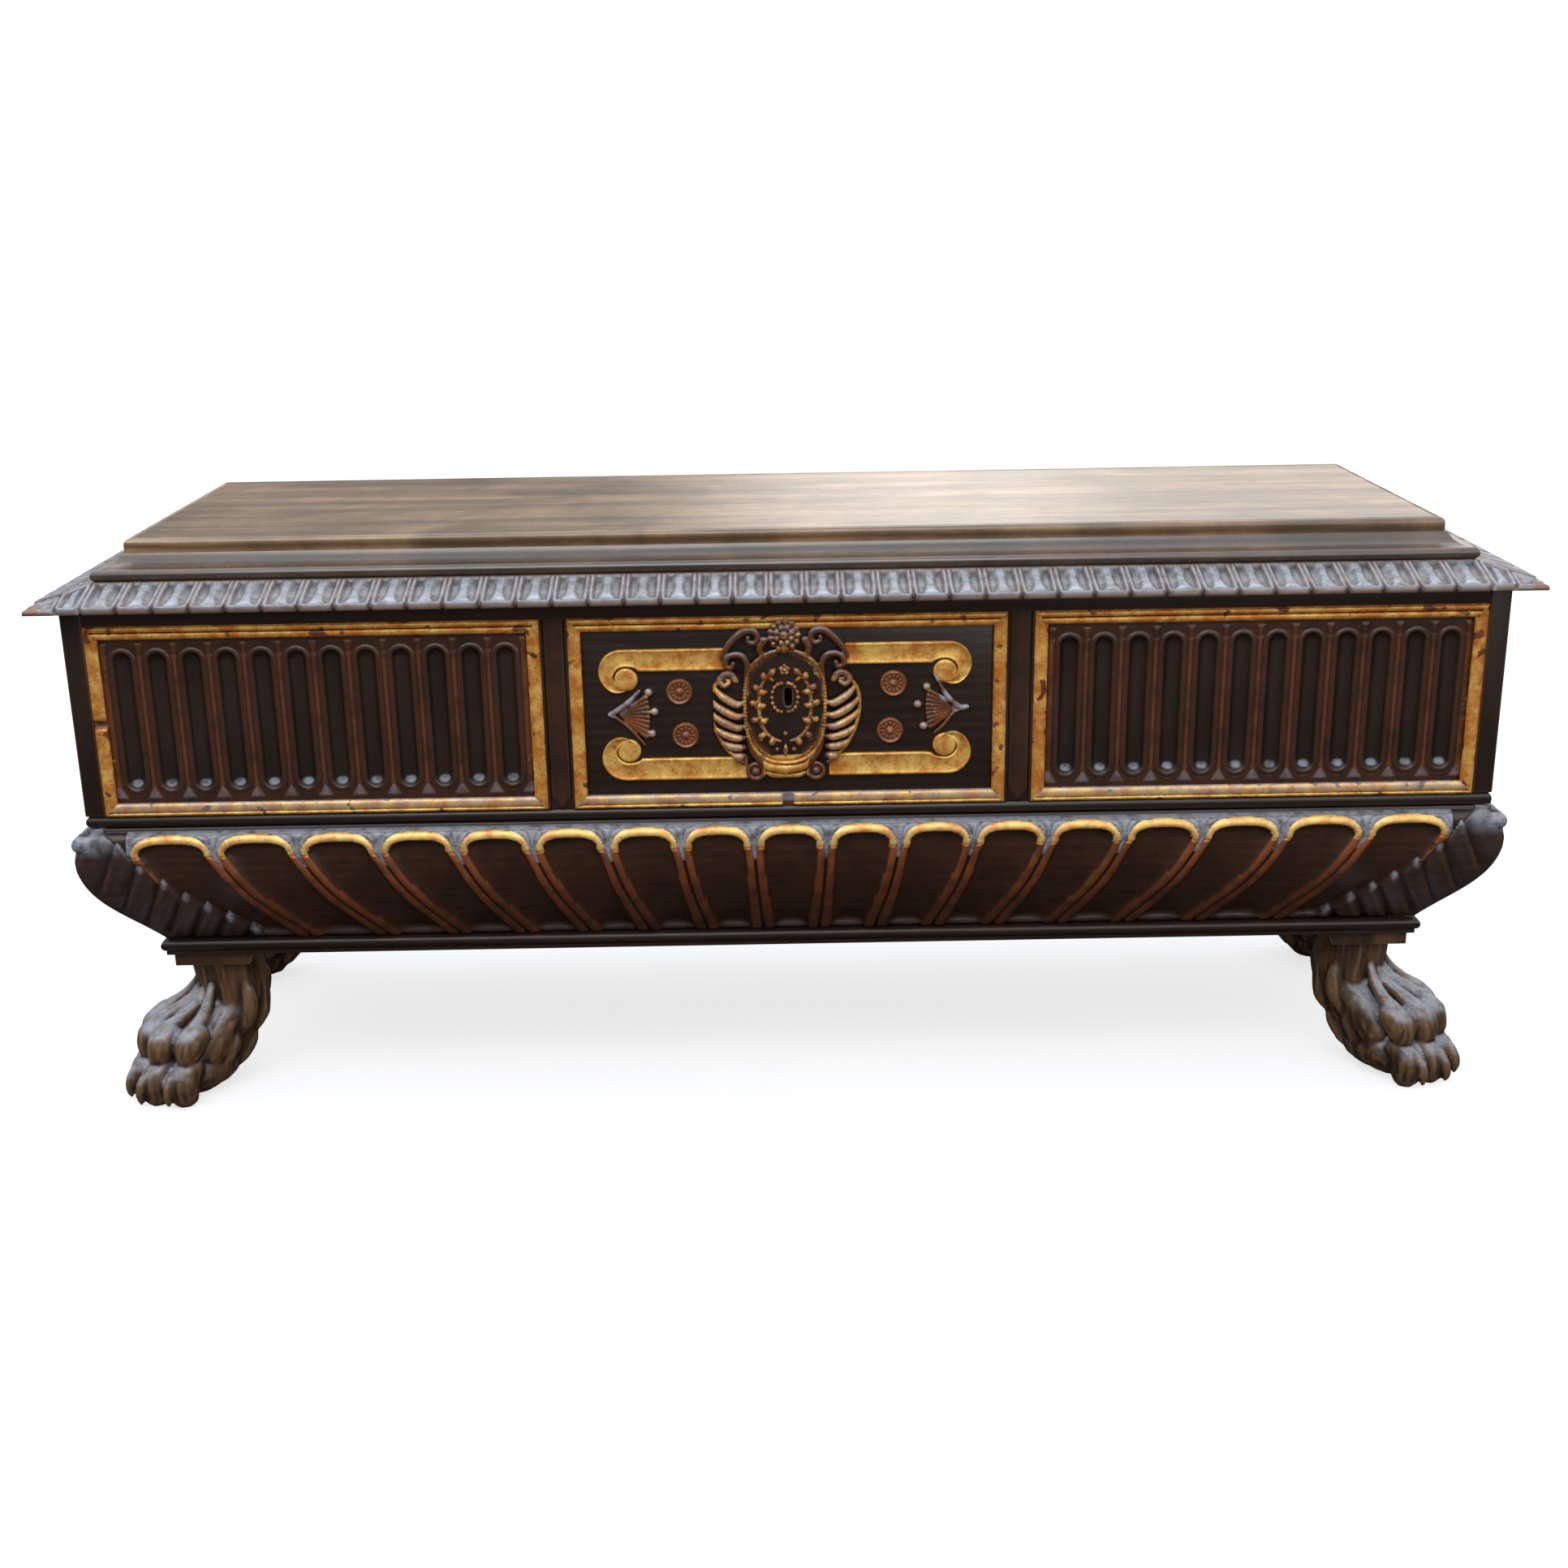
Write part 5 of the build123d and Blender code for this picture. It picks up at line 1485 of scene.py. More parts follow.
def fused(bm, voxel, smoothing=2):
    """Fuse overlapping balls into one skin and smooth it."""
    mesh = bpy.data.meshes.new("fusing")
    bm.to_mesh(mesh)
    bm.free()
    piece = bpy.data.objects.new("fusing", mesh)
    bpy.context.scene.collection.objects.link(piece)
    remesh = piece.modifiers.new("skin", "REMESH")
    remesh.mode = "VOXEL"
    remesh.voxel_size = voxel
    bpy.context.view_layer.update()
    graph = bpy.context.evaluated_depsgraph_get()
    skin = bpy.data.meshes.new_from_object(piece.evaluated_get(graph))
    bpy.data.objects.remove(piece)
    bpy.data.meshes.remove(mesh)
    made = bmesh.new()
    made.from_mesh(skin)
    bpy.data.meshes.remove(skin)
    for _ in range(smoothing):
        bmesh.ops.smooth_vert(
            made, verts=made.verts, factor=0.5, use_axis_x=True, use_axis_y=True, use_axis_z=True
        )
    return made


def cut_flat(bm, point, outward):
    """Cut away all beyond a plane and cover the cut."""
    geometry = [*bm.verts, *bm.edges, *bm.faces]
    bmesh.ops.bisect_plane(bm, geom=geometry, plane_co=point, plane_no=outward, clear_outer=True)
    bmesh.ops.holes_fill(bm, edges=open_edges(bm), sides=0)


# ------------------------------------------------------------------ paws and blocks
ANKLES = {
    ("front", "left"): (-0.738, -0.1307),
    ("front", "right"): (0.738, -0.1307),
    ("rear", "left"): (-0.738, 0.2043),
    ("rear", "right"): (0.738, 0.2043),
}
PAW_TURNS = {                 # in degrees from X, seen from above
    ("front", "left"): 220,
    ("front", "right"): -40,
    ("rear", "left"): 180,
    ("rear", "right"): 0,
}
PAW_FOOT, PAW_HEAD = 2.0, 172.0       # the hair's strands lie between these heights, in mm

# Runs of a paw: forward of the ankle, aside, up and radius, in mm
PAW_MASSES = (
    (
        (-4, 0, 172, 44), (-8, 0, 150, 45), (-10, 0, 125, 45),
        (-2, 0, 98, 43), (8, 0, 74, 41), (22, 0, 48, 37),
    ),
    ((22, 0, 48, 36), (36, 0, 28, 27), (52, 0, 14, 15)),
    ((8, 0, 105, 36), (42, 0, 82, 34), (72, 0, 62, 32), (84, 0, 42, 28)),
    ((30, -16, 34, 30), (62, -26, 32, 30), (88, -28, 26, 22)),
    ((30, 16, 34, 29), (58, 22, 32, 30), (80, 26, 26, 22)),
    ((2, -18, 102, 27), (28, -24, 78, 27), (48, -26, 56, 26)),
    ((2, 18, 102, 27), (28, 22, 78, 27), (46, 24, 56, 26)),
)
TOES = ((-44, 90), (-15, 108), (15, 108), (43, 84))   # aside and forward of the ankle
KNUCKLE = ((-19, 90, 17.5), (-9, 80, 19.5), (-4, 67, 16))     # forward of its toe, up, radius
PAD = ((-6, 48, 17), (5, 32, 20), (5, 15, 18.5))
CLAW = ((18, 38, 8), (25, 28, 7.5), (28.5, 17, 5.5), (27.5, 7, 3))
TUFTS = (                     # of hair, on the right of the paw
    ((-6, 36, 150, 5), (-10, 42, 126, 10), (-8, 43, 102, 12), (2, 39, 80, 9), (12, 35, 64, 3)),
    ((-34, 26, 142, 6), (-40, 30, 118, 11), (-34, 29, 94, 11), (-24, 27, 74, 8), (-14, 25, 60, 3)),
    ((8, 36, 84, 6), (14, 38, 64, 11), (24, 36, 44, 10), (34, 34, 28, 7), (42, 32, 16, 3)),
    ((-20, 24, 74, 5), (-14, 28, 56, 9), (0, 28, 36, 8), (14, 26, 22, 4)),
)
HEEL_TUFT = (
    (-46, 0, 150, 6), (-52, 0, 124, 10), (-46, 0, 98, 10), (-36, 0, 78, 7), (-26, 0, 62, 3),
)


def paw_runs():
    """The rounded masses of a paw."""
    runs = list(PAW_MASSES)
    for aside, forward in TOES:
        runs.append(
            [
                (24, 0.42 * aside, 146, 5),
                (38, 0.62 * aside, 122, 7.5),
                (0.60 * forward, 0.84 * aside, 108, 8.5),
                (0.78 * forward, aside, 98, 11),
            ]
        )
        for part in (KNUCKLE, PAD, CLAW):
            runs.append([(forward + out, aside, up, radius) for out, up, radius in part])
    for turn in (-1, 1):
        for tuft in TUFTS:
            runs.append([(out, turn * aside, up, radius) for out, aside, up, radius in tuft])
    runs.append(HEEL_TUFT)
    return runs


def carve_paw(row, end, sizes):
    """A lion's paw: knuckles, claws, tendons and tufts of hair."""
    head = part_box(f"foot_block_{row}_{end}")[0].z
    turn = math.radians(PAW_TURNS[row, end])
    place = Matrix.Translation((*ANKLES[row, end], 0.0)) @ Matrix.Rotation(turn, 4, "Z")
    place = place @ Matrix.Scale(MM, 4)
    bm = bmesh.new()
    for run in paw_runs():
        bead_run(bm, run, place, steps=7)
    bm = fused(bm, sizes.paw_voxel, 4)
    cut_flat(bm, (0, 0, head), (0, 0, 1))
    cut_flat(bm, (0, 0, 0.0005), (0, 0, -1))
    bm.normal_update()
    to_local = place.inverted()
    marks = marks_on(bm, "bloom")
    for vert in bm.verts:
        local = to_local @ vert.co
        strand = noise.noise(Vector((local.x * 0.05, local.y * 0.2, local.z * 0.02)))
        strand += 0.5 * noise.noise(Vector((local.x * 0.12, local.y * 0.45, local.z * 0.04)))
        # Painted highlight on the paw's upward faces, towards its toes
        bloom = 0.9 * ease(0.15, 0.8, vert.normal.z) * ease(-10, 40, local.x)
        mark(vert, marks, bloom=bloom)
        if PAW_FOOT < local.z < PAW_HEAD:
            vert.co += vert.normal * 0.0013 * strand
    low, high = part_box(f"paw_{row}_{end}")
    for vert in bm.verts:
        for axis in range(2):
            vert.co[axis] = min(high[axis], max(low[axis], vert.co[axis]))
    mark_ridges(bm, 0.007, 2)
    walnut = wood("foot walnut")
    replaced = (f"paw_{row}_{end}",)
    finished(bm, f"lion_paw_{row}_{end}", "case", "foot_walnut", walnut, replaced, sharp=0)


class CassoneFeet(bpy.types.Operator):
    """Carve the lion's paws and soften the blocks over them"""

    bl_idname = "cassone.feet"
    bl_label = "Feet"

    def execute(self, context):
        """Make the four feet."""
        walnut = wood("foot walnut")
        for row, end in ANKLES:
            carve_paw(row, end, context.scene.cassone_carving)
            node = f"foot_block_{row}_{end}"
            softened(f"block_{row}_{end}", node, "case", "foot_walnut", walnut)
        return {"FINISHED"}


# ------------------------------------------------------------------ ornament of the middle panel
def panel_place(x, z):
    """The frame of an ornament on the middle panel: x, z and distance out of the panel, in mm."""
    turn = Matrix(((1, 0, 0, 0), (0, 0, -1, 0), (0, 1, 0, 0), (0, 0, 0, 1)))
    return Matrix.Translation((x, PANEL_FACE, z)) @ turn @ Matrix.Scale(MM, 4)


# A strap: where its root is, the heights of its outer and inner edges, the middle and the radius
# of its round end, and the side that it turns to, in mm from the middle of the panel
STRAPS = {
    "left": (
        (-70.0, 78.5, 51.5, -197.0, 51.3, 27.2, -1),
        (-50.0, -83.0, -55.6, -196.0, -55.2, 27.6, -1),
    ),
    "right": (
        (68.0, 82.5, 56.5, 191.0, 55.7, 26.8, 1),
        (48.0, -80.7, -53.0, 191.0, -53.7, 27.0, 1),
    ),
}
STRAP_SECTION = (             # half of a strap's section: share of the way out, and height
    (-1.0, -0.5), (-1.0, 2.0), (-0.93, 3.3), (-0.84, 3.7), (-0.74, 3.2), (-0.64, 2.7), (0.0, 2.6),
)
STRAP_SHADE = 26              # how far from its root a strap's gilding is thin and warm: worn gilding, and painted shade beside the cartouche
BEND_START = 20.0             # the straight part ends this far before the scroll's middle
STRAIGHT_STEPS = 14
BEND_STEPS = 44
BEND_SHARE = 0.16             # share of the scroll's steps before its outer edge turns
BEND_ANGLE = math.radians(238)
BEND_TIGHTEN = 8.0            # how far the scroll's end has wound inwards
EYE_ASIDE = 5.0               # from the middle of a scroll to the middle of its round end
EYE_DROP = 9.5
EYE_RADIUS = 14.0
EYE_PROFILE = (
    (0.0, 3.4), (6.0, 3.3), (10.0, 3.1), (12.2, 3.0), (13.3, 2.4), (EYE_RADIUS, 1.3),
    (EYE_RADIUS, -0.5),
)


def around_point(middle, reach, angle, turn, up):
    """A point around a middle, by its angle from straight up or down."""
    return middle + reach * Vector((turn * math.sin(angle), up * math.cos(angle)))


def strap_edges(strap):
    """Pairs of points on a strap's outer and inner edges, and its eye: straight, then around."""
    root, outer_z, inner_z, middle_x, middle_z, radius, turn = strap
    up = 1 if outer_z > 0 else -1
    eye = Vector((middle_x - turn * EYE_ASIDE, middle_z - up * EYE_DROP))
    middle = Vector((middle_x, middle_z))
    bend_x = middle_x - turn * BEND_START
    pairs = []
    for k in range(STRAIGHT_STEPS):
        x = blend(root, bend_x, k / STRAIGHT_STEPS)
        pairs.append((Vector((x, outer_z)), Vector((x, inner_z))))
    for k in range(BEND_STEPS + 1):
        t = k / BEND_STEPS
        wound = max(0.0, (t - BEND_SHARE) / (1.0 - BEND_SHARE))
        if wound > 0.0:
            reach = blend(radius, radius - BEND_TIGHTEN, ease(0.62, 1.0, wound))
            outer = around_point(middle, reach, BEND_ANGLE * wound, turn, up)
        else:
            outer = Vector((blend(bend_x, middle_x, t / BEND_SHARE), outer_z))
        gap = blend(18.0 - EYE_RADIUS, 1.7, ease(0.0, 0.2, t)) - 3.5 * ease(0.5, 0.75, t)
        inward = math.radians(blend(-56, 190, t))
        pairs.append((outer, around_point(eye, EYE_RADIUS + gap, inward, turn, up)))
    return pairs, eye


def make_strap(bm, strap):
    """One gilded strap with rolled edges that ends in a scroll."""
    pairs, eye = strap_edges(strap)
    section = list(STRAP_SECTION)
    section += [(-across, height) for across, height in reversed(STRAP_SECTION[:-1])]
    section.append(section[0])
    around = len(section) - 1
    panel = panel_place(0.0, BAY_MIDDLE)

    def place(ring, part):
        outer, inner = pairs[ring]
        across, height = section[round(part * around)]
        spot = blend(inner, outer, (across + 1.0) / 2)
        if height > 1.0:
            height += 0.35 * noise.noise(Vector((spot.x * 0.06, spot.y * 0.09, 3.0)))
        return panel @ Vector((spot.x, spot.y, height))

    run = bmesh.new()
    swept(run, len(pairs) - 1, around, place)
    turned(run, EYE_PROFILE, panel @ Matrix.Translation((eye.x, eye.y, 0.0)), 56)
    join(bm, run)


def make_straps(end):
    """The two gilded straps on one side of the cartouche."""
    bm = bmesh.new()
    for strap in STRAPS[end]:
        make_strap(bm, strap)
    marks = marks_on(bm, "gilt", "warm")
    roots = [abs(strap[0]) for strap in STRAPS[end]]
    for vert in bm.verts:
        root = roots[0] if vert.co.z > BAY_MIDDLE else roots[1]
        # Thinner, warmer gilding towards the root: worn gilding, and painted shade beside the
        # cartouche
        clear = ease(root, root + STRAP_SHADE, abs(vert.co.x) / MM)
        mark(vert, marks, gilt=0.55 + 0.45 * clear, warm=0.75 - 0.4 * clear)
    mark_ridges(bm, 0.0008)
    gold = wood("gilt moulding", "x")
    finished(bm, f"straps_{end}", "case", "gilding", gold, (f"strapwork_{end}",), sharp=60)


ROSETTES = ((-129.0, 26.0), (-123.0, -28.0), (125.0, 32.0), (121.0, -26.0))   # x and z, in mm
ROSETTE_PROFILE = (           # distance from its middle and height
    (0.0, 4.8), (2.2, 4.5), (3.6, 3.2), (4.8, 2.0), (6.4, 2.2), (8.6, 3.0), (10.4, 3.0),
    (11.4, 2.6), (12.4, 3.7), (13.8, 4.3), (15.0, 3.4), (15.8, 1.6), (16.0, -0.5),
)
PETALS = 12
PETAL_START, PETAL_END = 5.5, 11.0    # of the petals, from the middle
BOSS_RADIUS = 3.5


def make_rosettes():
    """Four turned rosettes with a boss, a ring of shallow petals and a round rim."""
    bm = bmesh.new()
    for x, z in ROSETTES:
        turned(bm, ROSETTE_PROFILE, panel_place(x * MM, BAY_MIDDLE + z * MM), 72)
    marks = marks_on(bm, "gilt", "warm")
    for vert in bm.verts:
        spot = Vector((vert.co.x / MM, (vert.co.z - BAY_MIDDLE) / MM))
        near = min((spot - Vector(middle) for middle in ROSETTES), key=lambda v: v.length)
        far = near.length
        if PETAL_START < far < PETAL_END:
            petal = math.cos(PETALS * math.atan2(near.y, near.x))
            vert.co.y -= 0.35 * MM * petal
        raised = far > PETAL_END or far < BOSS_RADIUS
        mark(vert, marks, gilt=0.42 if raised else 0.28, warm=0.9)
    mark_ridges(bm)
    walnut = wood("ornament walnut")
    finished(bm, "rosette_set", "case", "carved_walnut", walnut, ("rosettes",), sharp=60)


# A fan: its tip, its upper and lower horn as (x, z, radius), both ends of its row of ribs and its
# three pearls, in mm from the middle of the panel
FANS = {
    "left": (
        (-212.0, 0.0),
        ((-200.0, 7.0, 3.6), (-187.0, 17.5, 3.2), (-176.5, 28.5, 1.8)),
        ((-203.0, -5.5, 2.0), (-187.0, -20.0, 2.2), (-172.0, -38.0, 1.6)),
        ((-170.0, 23.0), (-171.0, -31.0)),
        ((-165.8, 26.4), (-159.5, 2.6), (-163.3, -24.5)),
    ),
    "right": (
        (212.0, 2.5),
        ((203.0, 3.0, 3.6), (188.0, 17.5, 3.2), (174.0, 42.0, 1.8)),
        ((198.0, -3.5, 2.0), (184.0, -20.0, 2.2), (174.0, -29.0, 1.6)),
        ((168.0, 25.0), (170.0, -24.0)),
        ((164.3, 27.7), (153.5, 6.4), (160.5, -20.5)),
    ),
}
FAN_RIBS = 9


def make_fan(end):
    """A fan of ribs between two horns, with three pearls."""
    tip, upper, lower, row_ends, pearls = FANS[end]
    turn = 1 if end == "left" else -1
    place = panel_place(0.0, BAY_MIDDLE)
    bm = bmesh.new()
    start = (*tip, 3.0, 3.2)
    bead_run(bm, [start, *((x, z, 4.0, radius) for x, z, radius in upper)], place, steps=8)
    bead_run(bm, [start, *((x, z, 3.0, radius) for x, z, radius in lower)], place, steps=8)
    for k in range(FAN_RIBS):
        share = (k + 0.5) / FAN_RIBS
        x, z = blend(*map(Vector, row_ends), share)
        bow = turn * 3.5 * math.sin(math.pi * share)
        root_x, root_z = tip[0] + turn * 12, tip[1] + blend(2.5, -2.5, share)
        middle = (blend(root_x, x, 0.5), blend(root_z, z, 0.5), 2.0, 2.3)
        rib = [(root_x, root_z, 1.6, 1.2), middle, (x + bow, z, 1.8, 3.3)]
        bead_run(bm, rib, place, steps=7)
    for x, z in pearls:
        bead_run(bm, [(x, z, 2.0, 4.6), (x + 0.3, z, 2.2, 4.6)], place, steps=1, detail=3)
    bm = fused(bm, 0.8 * MM, 1)
    cut_flat(bm, (0, PANEL_FACE, 0), (0, 1, 0))
    marks = marks_on(bm, "gilt", "bloom", "warm")
    for vert in bm.verts:
        x, z = vert.co.x / MM, (vert.co.z - BAY_MIDDLE) / MM
        horn = min((Vector((x, z)) - Vector(spot[:2])).length for spot in (tip, *upper))
        pearl = min((Vector((x, z)) - Vector(spot)).length for spot in pearls)
        # Painted highlight on the horns and the pearls
        bloom = max(1.0 - ease(5.0, 10.0, horn), 0.8 * (1.0 - ease(5.0, 6.0, pearl)))
        gilt = 0.5 if pearl < 6.0 else 0.38
        mark(vert, marks, gilt=gilt, bloom=bloom, warm=0.7 if z < tip[1] - 4 else 0.3)
    mark_ridges(bm, 0.002, 2)
    walnut = wood("ornament walnut")
    replaced = (f"palmette_{end}",)
    finished(bm, f"fan_{end}", "case", "carved_walnut", walnut, replaced, sharp=0)


# The cartouche's right half: (x, z) or (x, z, height, radius) from its field's middle, in mm
CARTOUCHE_X = -4.0            # that middle, from the middle of the panel
CARTOUCHE_Z = 10.0
FIELD_RIM = (
    (0.0, 66.5), (12.0, 65.0), (24.0, 60.0), (36.0, 51.0), (44.0, 39.0), (47.0, 22.0), (47.6, 0.0),
    (46.6, -22.0), (43.0, -42.0), (36.0, -56.0), (25.0, -66.0), (12.0, -71.0), (0.0, -72.0),
)
WING_EDGE = (
    (64, 30), (76, 30), (84.5, 20), (88.5, 5), (87.5, -13), (82, -33), (72, -52), (59, -66),
    (50, -73),
)
RIB_ENDS = (2, -13, -27, -40, -52, -63)       # heights at which a wing's ribs meet the rim
SHOULDER = (
    (74, 58, 6, 3.0), (68, 70, 8, 3.8), (58, 82, 9, 4.4), (46, 90.5, 9.5, 4.6), (36, 90, 9.5, 4.2),
    (31, 83, 9.5, 3.6), (35, 75.5, 9, 3.2), (42, 77, 9, 2.8), (42.5, 82, 9, 2.6),
)
HORN = (
    (45, 36, 7, 3.0), (44, 50, 8, 3.6), (50, 60, 9, 3.9), (60, 62, 9, 3.7), (68.5, 57, 8.5, 3.5),
    (70, 49, 8, 3.3), (63.5, 45.5, 8, 3.2), (60.5, 51, 8, 3.0),
)
CURL = (
    (58, 30, 7, 3.6), (62, 37, 7.5, 4.0), (71, 38, 7.5, 4.0), (77, 31, 7, 3.6),
    (72, 24, 7, 3.2), (66, 27, 7, 3.0),
)
PROP = ((26, 60, 8, 3.6), (29, 69, 9, 4.2), (24, 79, 9.5, 4.2))
FOOT_FLARE = (
    (44, -44, 6, 2.8), (39, -57, 5.5, 4.4), (31, -67, 5, 5.8), (20, -76, 4, 7.2), (0, -80, 4, 8.2),
)
FOOT_BAR = ((0, -87, 4, 5.0), (14, -87, 4, 5.0), (22, -84, 4, 4.0))
VOLUTE = (36.0, -83.0)
CREST = (0.0, 85.0)
CREST_PETALS = (              # of each ring: count, reach, radius, height and turn
    (8, 9.5, 3.6, 12.4, 0.5),
    (13, 16.5, 4.0, 9.8, 0.0),
)
KEYHOLE_Z = 8.0
KEYHOLE_HALF = (4.5, 11.0)            # half of its width and height
KEYHOLE_BEADS = (9, 11.5, 17.5)       # how many on each side, and how far aside and up they stand
STEM = (
    (6, -46, 5, 2.0), (17, -41, 5, 2.5), (26, -30, 5, 2.8), (30.5, -12, 5, 2.9),
    (30.5, 8, 5, 2.8), (27, 24, 5, 2.5), (20, 33, 5, 2.3), (14, 29, 5, 2.4),
)
LEAVES = (                    # x, z, direction in degrees and length
    (14, -43, -62, 8.5), (24, -37, -20, 8.5), (31, -24, 150, 12.5), (32.5, -20, 10, 8.5),
    (34.5, -4, 165, 12.5), (34, 0, 20, 8.5), (33, 14, 175, 12.5), (31, 18, 40, 8.5),
    (25, 30, 90, 8.5), (19, 34, 130, 12.5),
)
FLOWER_Z = 42
BERRIES = ((0.0, -36.0), (10.0, -56.0), (30.0, -44.0))
DROP = ((0, -50, 4.6, 1.4), (0, -57, 5.2, 3.2), (0, -64, 4.6, 1.4))


def ring_run(middle, radius, height, thick, steps=24):
    """Points of a whole ring."""
    x, z = middle
    angles = [2 * math.pi * k / steps for k in range(steps + 1)]
    return [(x + radius * math.cos(a), z + radius * math.sin(a), height, thick) for a in angles]


def wing_runs():
    """The ribs of a wing, from its edge down to the rim of the field."""
    edge = smooth_line([(x, z, 4.5, 2.6) for x, z in WING_EDGE], 10)
    runs = [[tuple(point) for point in edge[::5]]]
    for k, end_z in enumerate(RIB_ENDS):
        x, z, *_ = edge[round(blend(19, 67, k / 5))]
        inner = 51.5 - 0.5 * k
        middle = (blend(x, inner, 0.42), blend(z, end_z, 0.62) - 1.0)
        runs.append(
            [
                (x - 1, z, 4.5, 2.4),
                (blend(x, inner, 0.16), blend(z, end_z, 0.32), 6.0, 3.8),
                (*middle, 8.2, 4.9),
                (blend(x, inner, 0.78), end_z - 0.4, 8.8, 4.7),
                (inner, end_z, 7.6, 3.0),
            ]
        )
    return runs


def cartouche_runs():
    """The rounded runs of the cartouche's right half."""
    runs = [SHOULDER, HORN, CURL, PROP, FOOT_FLARE, FOOT_BAR, *wing_runs()]
    runs.append([(x, z, 8.0, 2.6) for x, z in FIELD_RIM])
    runs.append(ring_run(VOLUTE, 9.2, 5.5, 2.9))
    runs.append([(*VOLUTE, 5, 5.4), (VOLUTE[0] + 0.5, VOLUTE[1], 5.4, 5.2)])
    return runs


def crest_runs():
    """The flower over the cartouche: two rings of petals around a boss."""
    x, z = CREST
    runs = [[(x - 0.5, z, 12, 5.5), (x, z, 13, 5.0)], [(0, 66, 8, 4.5), (0, 72, 9, 6.0)]]
    for count, reach, thick, height, offset in CREST_PETALS:
        for k in range(count):
            angle = 2 * math.pi * (k + offset) / count
            out_x, out_z = reach * math.cos(angle), reach * math.sin(angle)
            heart = (x + 0.55 * out_x, z + 0.55 * out_z, height - 1.5, 0.7 * thick)
            runs.append([heart, (x + out_x, z + out_z, height, thick)])
    return runs


def keyhole_x():
    """The keyhole's place beside the middle of the field: the middle of the CAD cartouche."""
    low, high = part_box("cartouche")
    return (low.x + high.x) / 2 / MM - CARTOUCHE_X


def device_runs():
    """The ornament of the field's right half: beads around the keyhole and a leafy spray."""
    runs = []
    count, aside, up = KEYHOLE_BEADS
    for k in range(count):
        angle = math.pi * (k / (count - 1) - 0.5)
        x = keyhole_x() + aside * math.cos(angle)
        z = KEYHOLE_Z + up * math.sin(angle)
        runs.append([(x, z, 5.2, 2.7), (x + 0.2, z, 5.8, 2.6)])
    runs.append(STEM)
    for x, z, angle, size in LEAVES:
        out = Vector((math.cos(math.radians(angle)), math.sin(math.radians(angle))))
        broad = (x + 0.5 * size * out.x, z + 0.5 * size * out.y, 5.8, 4.2)
        tip = (x + size * out.x, z + size * out.y, 5.0, 1.2)
        runs.append([(x, z, 5.0, 1.6), broad, tip])
    for k in range(5):
        angle = 2 * math.pi * k / 5 + math.pi / 2
        x, z = math.cos(angle), math.sin(angle)
        if x > -0.1:
            root = (4.5 * x, FLOWER_Z + 4.5 * z, 5.0, 2.9)
            runs.append([root, (4.7 * x, FLOWER_Z + 4.7 * z, 5.4, 2.7)])
    runs.append([(0, FLOWER_Z, 6.2, 2.2), (0.2, FLOWER_Z, 6.4, 2.1)])
    runs += [[(x, z, 5.0, 3.0), (x + 0.2, z, 5.3, 2.9)] for x, z in BERRIES]
    runs.append(DROP)
    return runs


FIELD_STEPS = (               # share of the way from the keyhole to the field's edge, and height
    (0.0, 0.2), (0.0, 4.0), (0.03, 4.6), (0.06, 4.6), (0.1, 4.0), (0.2, 4.2), (0.35, 4.3),
    (0.5, 4.3), (0.65, 4.1), (0.8, 3.8), (0.92, 3.4), (1.0, 3.2), (1.0, 0.2), (0.0, 0.2),
)
FIELD_UNEVEN = range(4, 11)   # the steps that the carver's gouge left uneven


def make_field(place):
    """The cartouche's dark field: a plate with the keyhole through it."""
    half = smooth_line([(x, z, 0.0, 0.0) for x, z in FIELD_RIM], 8)
    outline = [Vector(p[:2]) for p in half]
    outline += [Vector((-p[0], p[1])) for p in reversed(half[1:-1])]
    middle = Vector((keyhole_x(), KEYHOLE_Z))
    around = len(outline)
    bm = bmesh.new()

    def put(vert, column, row):
        edge = outline[column % around]
        direction = (edge - middle).normalized()
        wide, tall = KEYHOLE_HALF
        up = max(-(tall - wide), min(tall - wide, direction.y * tall))
        inner = middle + Vector((direction.x * wide, up + direction.y * wide))
        share, height = FIELD_STEPS[row]
        spot = blend(inner, edge, share)
        if row in FIELD_UNEVEN:
            height += 0.35 * noise.noise(Vector((spot.x * 0.3, spot.y * 0.3, 1.0)))
        vert.co = place @ Vector((spot.x, spot.y, height))

    verts = mapped_grid(bm, around, len(FIELD_STEPS) - 1, put)
    bmesh.ops.remove_doubles(bm, verts=verts, dist=1e-6)
    bmesh.ops.recalc_face_normals(bm, faces=bm.faces)
    return bm


def mirrored(points):
    """A run on the other side of the middle."""
    return [(-x, *rest) for x, *rest in points]


